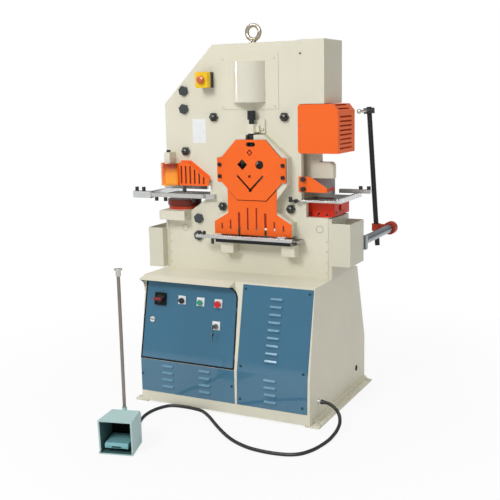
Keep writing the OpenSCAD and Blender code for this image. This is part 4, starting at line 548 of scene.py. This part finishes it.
# ---------------------------------------------------------------- foot switch cable
CABLE_R = 0.0085
CABLE_LOWEST = CABLE_R + 0.0003     # of the middle line, so that the cable stays on the floor
CABLE_STEPS = 6                     # points between two points of the route
ROUTE = [
    (-0.2502, -0.854, 0.032), (-0.2584, -0.821, 0.029), (-0.28, -0.764, 0.018),
    (-0.306, -0.702, 0.009), (-0.33, -0.64, 0.009), (-0.342, -0.58, 0.009),
    (-0.34, -0.52, 0.009), (-0.326, -0.472, 0.009), (-0.3, -0.43, 0.009),
    (-0.262, -0.415, 0.009), (-0.21, -0.411, 0.009), (-0.158, -0.414, 0.009),
    (-0.102, -0.428, 0.009), (-0.038, -0.476, 0.009), (0.02, -0.532, 0.009),
    (0.074, -0.584, 0.009), (0.13, -0.634, 0.009), (0.19, -0.682, 0.009),
    (0.25, -0.718, 0.009), (0.32, -0.746, 0.009), (0.39, -0.757, 0.009),
    (0.46, -0.756, 0.009), (0.524, -0.742, 0.009), (0.57, -0.71, 0.009),
    (0.602, -0.65, 0.009), (0.619, -0.58, 0.009), (0.627, -0.51, 0.009),
    (0.629, -0.44, 0.015), (0.628, -0.398, 0.024), (0.624, -0.366, 0.034),
    (0.617, -0.343, 0.044), (0.608, -0.326, 0.057), (0.594, -0.311, 0.07),
    (0.578, -0.3, 0.08), (0.56, -0.294, 0.09), (0.54, -0.291, 0.098),
    (0.518, -0.29, 0.101),
]


def spline_point(p0, p1, p2, p3, t):
    """Point at t between p1 and p2 of a smooth curve through all four (Catmull-Rom)."""
    return 0.5 * (2 * p1 + (p2 - p0) * t + (2 * p0 - 5 * p1 + 4 * p2 - p3) * t * t
                  + (3 * p1 - p0 - 3 * p2 + p3) * t * t * t)


def cable():
    """The cable from the cabinet's gland to the back of the foot switch."""
    pts = [Vector(p) for p in reversed(ROUTE)]
    last = len(pts) - 1
    line = []
    for i in range(last):
        four = [pts[max(0, min(last, i + k))] for k in (-1, 0, 1, 2)]
        line += [spline_point(*four, k / CABLE_STEPS) for k in range(CABLE_STEPS)]
    line.append(pts[last])
    for p in line:
        p.z = max(p.z, CABLE_LOWEST)
    data = bpy.data.curves.new("switch_lead", "CURVE")
    data.dimensions = "3D"
    data.bevel_depth, data.bevel_resolution = CABLE_R, 5
    data.use_fill_caps = True
    spline = data.splines.new("POLY")
    spline.points.add(len(line) - 1)
    for q, p in zip(spline.points, line):
        q.co = (*p, 1)
    spline.use_smooth = True
    ob = bpy.data.objects.new("switch_lead", data)
    scene.collection.objects.link(ob)
    data.materials.append(rubber)
    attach(ob, "machine")
    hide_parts("switch_cable")


cable()

# ---------------------------------------------------------------- small pieces made here
GAP = 0.0001            # between a thin piece and the face it lies on
TO_FRONT, TO_RIGHT = (0, -1, 0), (1, 0, 0)


def solid(name, bm, material, body, slot=None, bevel=0.0, smooth=True):
    """Makes the piece name of bm's faces, riding on body, with its edges bevelled if asked."""
    me = bpy.data.meshes.new(name)
    bmesh.ops.recalc_face_normals(bm, faces=bm.faces)
    bm.to_mesh(me)
    bm.free()
    ob = bpy.data.objects.new(name, me)
    scene.collection.objects.link(ob)
    me.materials.append(material)
    for p in me.polygons:
        p.use_smooth = smooth
    if bevel:
        b = ob.modifiers.new("edges", "BEVEL")
        b.width, b.segments, b.harden_normals = bevel, 2, True
        b.limit_method, b.angle_limit = "ANGLE", math.radians(30)
    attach(ob, body)


def prism(bm, ring, y0, y1):
    """Upright plate of any outline in x and z, from y0 (back) to y1 (front)."""
    back = [bm.verts.new((x, y0, z)) for x, z in ring]
    front = [bm.verts.new((x, y1, z)) for x, z in ring]
    bm.faces.new(front)
    bm.faces.new(back[::-1])
    n = len(ring)
    for i in range(n):
        bm.faces.new((back[i], back[(i + 1) % n], front[(i + 1) % n], front[i]))


def rounded_plate(bm, x0, x1, z0, z1, y0, y1, r, steps=6):
    """Upright plate with rounded corners, from y0 (back) to y1 (front)."""
    ring = []
    for cx, cz, a in ((x1 - r, z1 - r, 0), (x0 + r, z1 - r, 90),
                      (x0 + r, z0 + r, 180), (x1 - r, z0 + r, 270)):
        for k in range(steps + 1):
            t = math.radians(a + 90 * k / steps)
            ring.append((cx + r * math.cos(t), cz + r * math.sin(t)))
    prism(bm, ring, y0, y1)


def disc(bm, place, axis, r, h, steps=28, hole=0.0):
    """Short round bar from place along axis, or a ring when hole is given."""
    turn = Vector((0, 0, 1)).rotation_difference(Vector(axis)).to_matrix()
    angles = [2 * math.pi * k / steps for k in range(steps)]

    def row(q, z):
        around = (Vector((q * math.cos(t), q * math.sin(t), z)) for t in angles)
        return [bm.verts.new(Vector(place) + turn @ v) for v in around]

    rows = [row(r, 0), row(r, h)]
    pairs = [(0, 1)]
    if hole:
        rows += [row(hole, h), row(hole, 0)]
        pairs += [(1, 2), (2, 3), (3, 0)]
    for a, b in pairs:
        for k in range(steps):
            after = (k + 1) % steps
            bm.faces.new((rows[a][k], rows[a][after], rows[b][after], rows[b][k]))
    if not hole:
        bm.faces.new(rows[1])
        bm.faces.new(rows[0][::-1])


def discs(name, material, places, **look):
    """One piece of several discs on the machine."""
    bm = bmesh.new()
    for place in places:
        disc(bm, *place)
    solid(name, bm, material, "machine", **look)


def label_plate():
    """White plate on the frame, blank."""
    width, height, thick, corner = 0.080, 0.125, 0.0009, 0.003
    x0, z0 = low("front_plate").x + 0.165, low("front_plate").z + 0.678
    bm = bmesh.new()
    rounded_plate(bm, x0, x0 + width, z0, z0 + height, FACE_Y - GAP, FACE_Y - thick, corner)
    solid("blank_plate", bm, white_plate, "machine", "white_plate", 0.0002)


def slot_shade_liners():
    """Dark red sheet as painted shade seen through the skirt guard's eight slots, which mirror one
    another.
    """
    pitch, foot, clear, thick, corner = 0.05, 0.041, 0.0002, 0.0006, 0.001
    slots = ((0.0045, 0.057), (0.0045, 0.075), (0.0065, 0.116), (0.0045, 0.142))
    z0, y = low("skirt_guard").z, high("skirt_guard").y
    bm = bmesh.new()
    for i, (half, top) in enumerate(slots + slots[::-1]):
        x, half = SHEAR_MID.x + (i - 3.5) * pitch, half - clear
        rounded_plate(bm, x - half, x + half, z0 + foot, z0 + top - clear,
                      y - GAP, y - thick, corner, 3)
    solid("slot_shade_liners", bm, slot_shade_red, "machine", smooth=False)


def door_edging_and_shade():
    """Near black edging round the door's face, beside the gasket: partly rubber, partly painted
    shade in the gap round the door.
    """
    x0, x1, bottom, top, r, skew = -0.480, 0.0675, 0.007, 0.416, 0.058, 0.014
    inner, outer, front = -0.0002, -0.0034, -0.0005
    wall_foot = Matrix.Translation((0, -0.400, 0.240))

    def ring(g):
        arc = [math.radians(10 * k) for k in range(10)]
        return ([(x0 - g, bottom - g), (x1 + g, bottom - g)]
                + [(x1 - r + (r + g) * math.cos(t), top - r + (r + g) * math.sin(t)) for t in arc]
                + [(x0 + skew - g, top + g)])

    bm = bmesh.new()
    rows = [[bm.verts.new((x, y, z)) for x, z in ring(g)]
            for g, y in ((inner, -GAP), (inner, front), (outer, front), (outer, -GAP))]
    for row, after in zip(rows, rows[1:] + rows[:1]):
        for k in range(-1, len(row) - 1):
            bm.faces.new((row[k], row[k + 1], after[k + 1], after[k]))
    bmesh.ops.transform(bm, matrix=wall_foot @ Matrix.Rotation(-LEAN, 4, "X"), verts=bm.verts)
    solid("door_edging_and_shade", bm, dark_and_shade, "control_door", smooth=False)


def treadle_slot_shade():
    """Painted shade of a slot across the treadle's front edge: a thin dark strip."""
    size = Matrix.Diagonal((0.046, 0.0006, 0.0065, 1))
    offset = Matrix.Translation((0, -0.0726, low("treadle").z + 0.0075))
    place = Matrix.Translation(PEDAL_AT) @ Matrix.Rotation(TURN, 4, "Z") @ offset
    bm = bmesh.new()
    bmesh.ops.create_cube(bm, size=1)
    bmesh.ops.transform(bm, matrix=place @ size, verts=bm.verts)
    solid("treadle_slot_shade", bm, dark_and_shade, "treadle", bevel=0.0002)


def guard_shade_liner():
    """Inner sheet behind the slots of the punch guard, dark red as painted shade."""
    x0, x1 = PUNCH_MID.x + 0.033, PUNCH_MID.x + 0.208
    z0, z1, corner = WINDOW_LOW + 0.004, WINDOW_TOP - 0.003, 0.006
    ring = [(x0, z0), (x1 - corner, z0), (x1, z0 + corner),
            (x1, WINDOW_TOP - 0.0925), (x0 + 0.055, z1), (x0, z1)]
    bm = bmesh.new()
    prism(bm, ring, FACE_Y - 0.0261, FACE_Y - 0.0269)
    solid("guard_shade_liner", bm, shade_red, "machine", smooth=False)


def octagon_shade_strip():
    """Painted shadow under the octagonal guard: a thin dark strip on the face of the skirt guard.
    """
    x, z0, y = SHEAR_MID.x, low("octagon_guard").z, low("skirt_guard").y
    wide, top = 0.1385, z0 + 0.057
    ring = [(x - wide, top), (x - 0.082, z0 - 0.0008), (x + 0.082, z0 - 0.0008), (x + wide, top),
            (x + wide, z0 + 0.0515), (x + 0.0835, z0 - 0.0044), (x - 0.0835, z0 - 0.0040),
            (x - wide, z0 + 0.055)]
    bm = bmesh.new()
    for i in range(3):
        prism(bm, [ring[i], ring[i + 1], ring[6 - i], ring[7 - i]], y, y - 0.0003)
    solid("octagon_shade_strip", bm, shade_red, "machine", smooth=False)


def guard_hole_shades():
    """Crimson sheet seen through the guard's two small openings, a round and a square one, as
    painted shade.
    """
    thick, round_r, square_r = 0.0004, 0.0078, 0.0166
    y = HOUSING_Y - GAP
    bm = bmesh.new()
    disc(bm, (SHEAR_MID.x - 0.008, y, SHEAR_MID.z - 0.033), TO_FRONT, round_r, thick, 24)
    x, z, r = SHEAR_MID.x - 0.006, SHEAR_MID.z + 0.088, square_r
    prism(bm, [(x, z - r), (x + r, z), (x, z + r), (x - r, z)], y, y - thick)
    solid("guard_hole_shades", bm, opening_shade_red, "machine", smooth=False)


def housing_seams():
    """Joints between the stacked plates of the shear housing, down its right side."""
    x, z0, mid, raised = SHEAR_MID.x, low("skirt_guard").z, SHEAR_MID.z, 0.0004
    line = [(0.217, z0), (0.217, z0 + 0.072), (0.129, z0 + 0.126), (0.129, z0 + 0.178),
            (0.194, mid - 0.077), (0.194, mid + 0.065), (0.066, mid + 0.177)]
    bm = bmesh.new()
    for y, wide in ((-0.1175, 0.0016), (-0.1345, 0.0014)):
        for (xa, za), (xb, zb) in zip(line, line[1:]):
            d = Vector((xb - xa, zb - za)).normalized()
            nx, nz = d.y * raised, -d.x * raised
            ring = [(x + xa, za), (x + xb, zb), (x + xb + nx, zb + nz), (x + xa + nx, za + nz)]
            prism(bm, ring, y + wide, y)
    solid("housing_seams", bm, seam_grey, "machine", smooth=False)


def holes_and_screws():
    """Near black discs as painted shade in a hole of the frame and in the drain hole, a dark ring
    round the drain, the die's screws and the knock-out rings.
    """
    column, drain_y, drain_z = high("front_plate"), high("base_cabinet").y - 0.136, 0.108
    discs("hole_shade_discs", dark_and_shade,
          [((column.x - 0.1425, FACE_Y - 0.0015, column.z - 0.062), TO_FRONT, 0.0048, 0.0009, 20),
           ((0.4815, drain_y, drain_z), TO_RIGHT, 0.0118, 0.0031),
           ((0.4841, drain_y, drain_z), TO_RIGHT, 0.0170, 0.0008, 32, 0.0121)],
          bevel=0.0003)
    screw = 0.0062, 0.0012, 20
    discs("die_screws", black_plastic,
          [((x, -0.0721, 1.003), TO_FRONT, *screw) for x in (0.350, 0.398, 0.446)]
          + [((0.4761, y, 1.008), TO_RIGHT, *screw) for y in (-0.010, 0.045)],
          bevel=0.0003)
    discs("knockout_rings", seam_grey,
          [((x, FACE_Y + 0.0001, z), TO_FRONT, 0.0185, 0.0005, 40, 0.0170)
           for x, z in ((0.420, 0.932), (-0.361, 0.903))],
          smooth=False)


def rulers():
    """Plain graduated strips on the gauge rails."""
    thick = 0.00015
    side_z, front_z = SIDE_TABLE_TOP + 0.012, low("shear_stop").z + 0.007
    for name, x0, x1, y0, y1, z in (
            ("ruler_left", -0.5995, -0.5925, -0.108, 0.236, side_z),
            ("ruler_right", 0.5305, 0.5375, -0.119, 0.186, side_z),
            ("ruler_front", -0.230, 0.315, -0.2175, -0.2110, front_z)):
        bm = bmesh.new()
        prism(bm, [(x0, z), (x1, z), (x1, z + thick), (x0, z + thick)], y1, y0)
        solid(name, bm, ruler, "machine", smooth=False)


for make in (label_plate, slot_shade_liners, door_edging_and_shade, treadle_slot_shade, guard_shade_liner, octagon_shade_strip,
             guard_hole_shades, housing_seams, holes_and_screws, rulers):
    make()

# ---------------------------------------------------------------- floor, world and lamps
FLOOR_SIZE, FLOOR_Z, FLOOR_GREY = 30, -0.0004, 0.78
FLOOR_FADE = 1.0, 2.3, 0.87, 1.0    # white seen by the camera: 0.87 within 1 m, all from 2.3 m
SKY = 0.0, 0.9, 0.19, 0.90          # light of the world, from the horizon to high above


def make_floor():
    """Pale floor that fades to white away from the object and keeps its shadow."""
    bm = bmesh.new()
    bmesh.ops.create_grid(bm, x_segments=1, y_segments=1, size=FLOOR_SIZE)
    me = bpy.data.meshes.new("floor")
    bm.to_mesh(me)
    bm.free()
    ob = bpy.data.objects.new("floor", me)
    ob.location = (0, 0, FLOOR_Z)
    scene.collection.objects.link(ob)
    mat = bpy.data.materials.new("floor")
    t = Tree(mat)
    ray = t.add("LightPath").outputs
    seen = t.math("MAXIMUM", ray["Is Camera Ray"], ray["Is Glossy Ray"])
    away = t.add("VectorMath")
    away.operation = "LENGTH"
    t.link(t.coords(), away.inputs[0])
    fade = t.span(away.outputs["Value"], *FLOOR_FADE)
    lit, plain, mix = t.add("BsdfDiffuse"), t.add("Emission"), t.add("MixShader")
    lit.inputs[0].default_value = (FLOOR_GREY, FLOOR_GREY, FLOOR_GREY, 1)
    plain.inputs[0].default_value = WHITE
    t.link(t.math("MULTIPLY", seen, fade), mix.inputs[0])
    t.link(lit.outputs[0], mix.inputs[1])
    t.link(plain.outputs[0], mix.inputs[2])
    t.link(mix.outputs[0], t.add("OutputMaterial").inputs[0])
    me.materials.append(mat)


def make_world():
    """White for the camera and through the window, and a soft sky for the light."""
    world = bpy.data.worlds.new("world")
    scene.world = world
    t = Tree(world)
    ray = t.add("LightPath").outputs
    seen = t.math("MAXIMUM", ray["Is Camera Ray"], ray["Is Transmission Ray"])
    level = t.add("Mix")
    t.link(seen, level.inputs[0])
    t.link(t.span(t.split(t.coords("Generated"))[Z], *SKY), level.inputs[2])
    level.inputs[3].default_value = 1.0
    back = t.add("Background")
    back.inputs[0].default_value = WHITE
    t.link(level.outputs[0], back.inputs[1])
    t.link(back.outputs[0], t.add("OutputWorld").inputs[0])


def lamp(name, place, aim, size, power, gloss=True, diffuse=True, tint=(1, 1, 1)):
    """Round area lamp, which may be left out of reflections or of the diffuse light."""
    data = bpy.data.lights.new(name, "AREA")
    data.shape, data.size, data.energy, data.color = "DISK", size, power, tint
    ob = bpy.data.objects.new(name, data)
    scene.collection.objects.link(ob)
    ob.visible_glossy, ob.visible_diffuse = gloss, diffuse
    ob.location = place
    ob.rotation_mode = "QUATERNION"
    ob.rotation_quaternion = (Vector(aim) - Vector(place)).to_track_quat("-Z", "Y")


make_floor()
make_world()
lamp("key", (-1.0, -5.4, 4.7), (0, 0, 0.9), 2.2, 192, gloss=False)
lamp("fill", (4.6, -2.7, 1.5), (0, 0, 0.9), 2.5, 4, tint=(1, 0.99, 0.84))
lamp("back", (-1.2, 5.2, 1.6), (0, 0, 0.9), 2.5, 95, gloss=False)
lamp("sheen", (-1.3, -2.1, 3.8), (0.1, -0.3, 0.6), 1.3, 60, diffuse=False)
lamp("spark", (1.6, -4.6, 4.4), (0, 0, 1.2), 2.4, 420, diffuse=False)
lamp("streak", (-4.2, -0.7, 1.9), (0, 0, 1.5), 0.5, 22, diffuse=False)
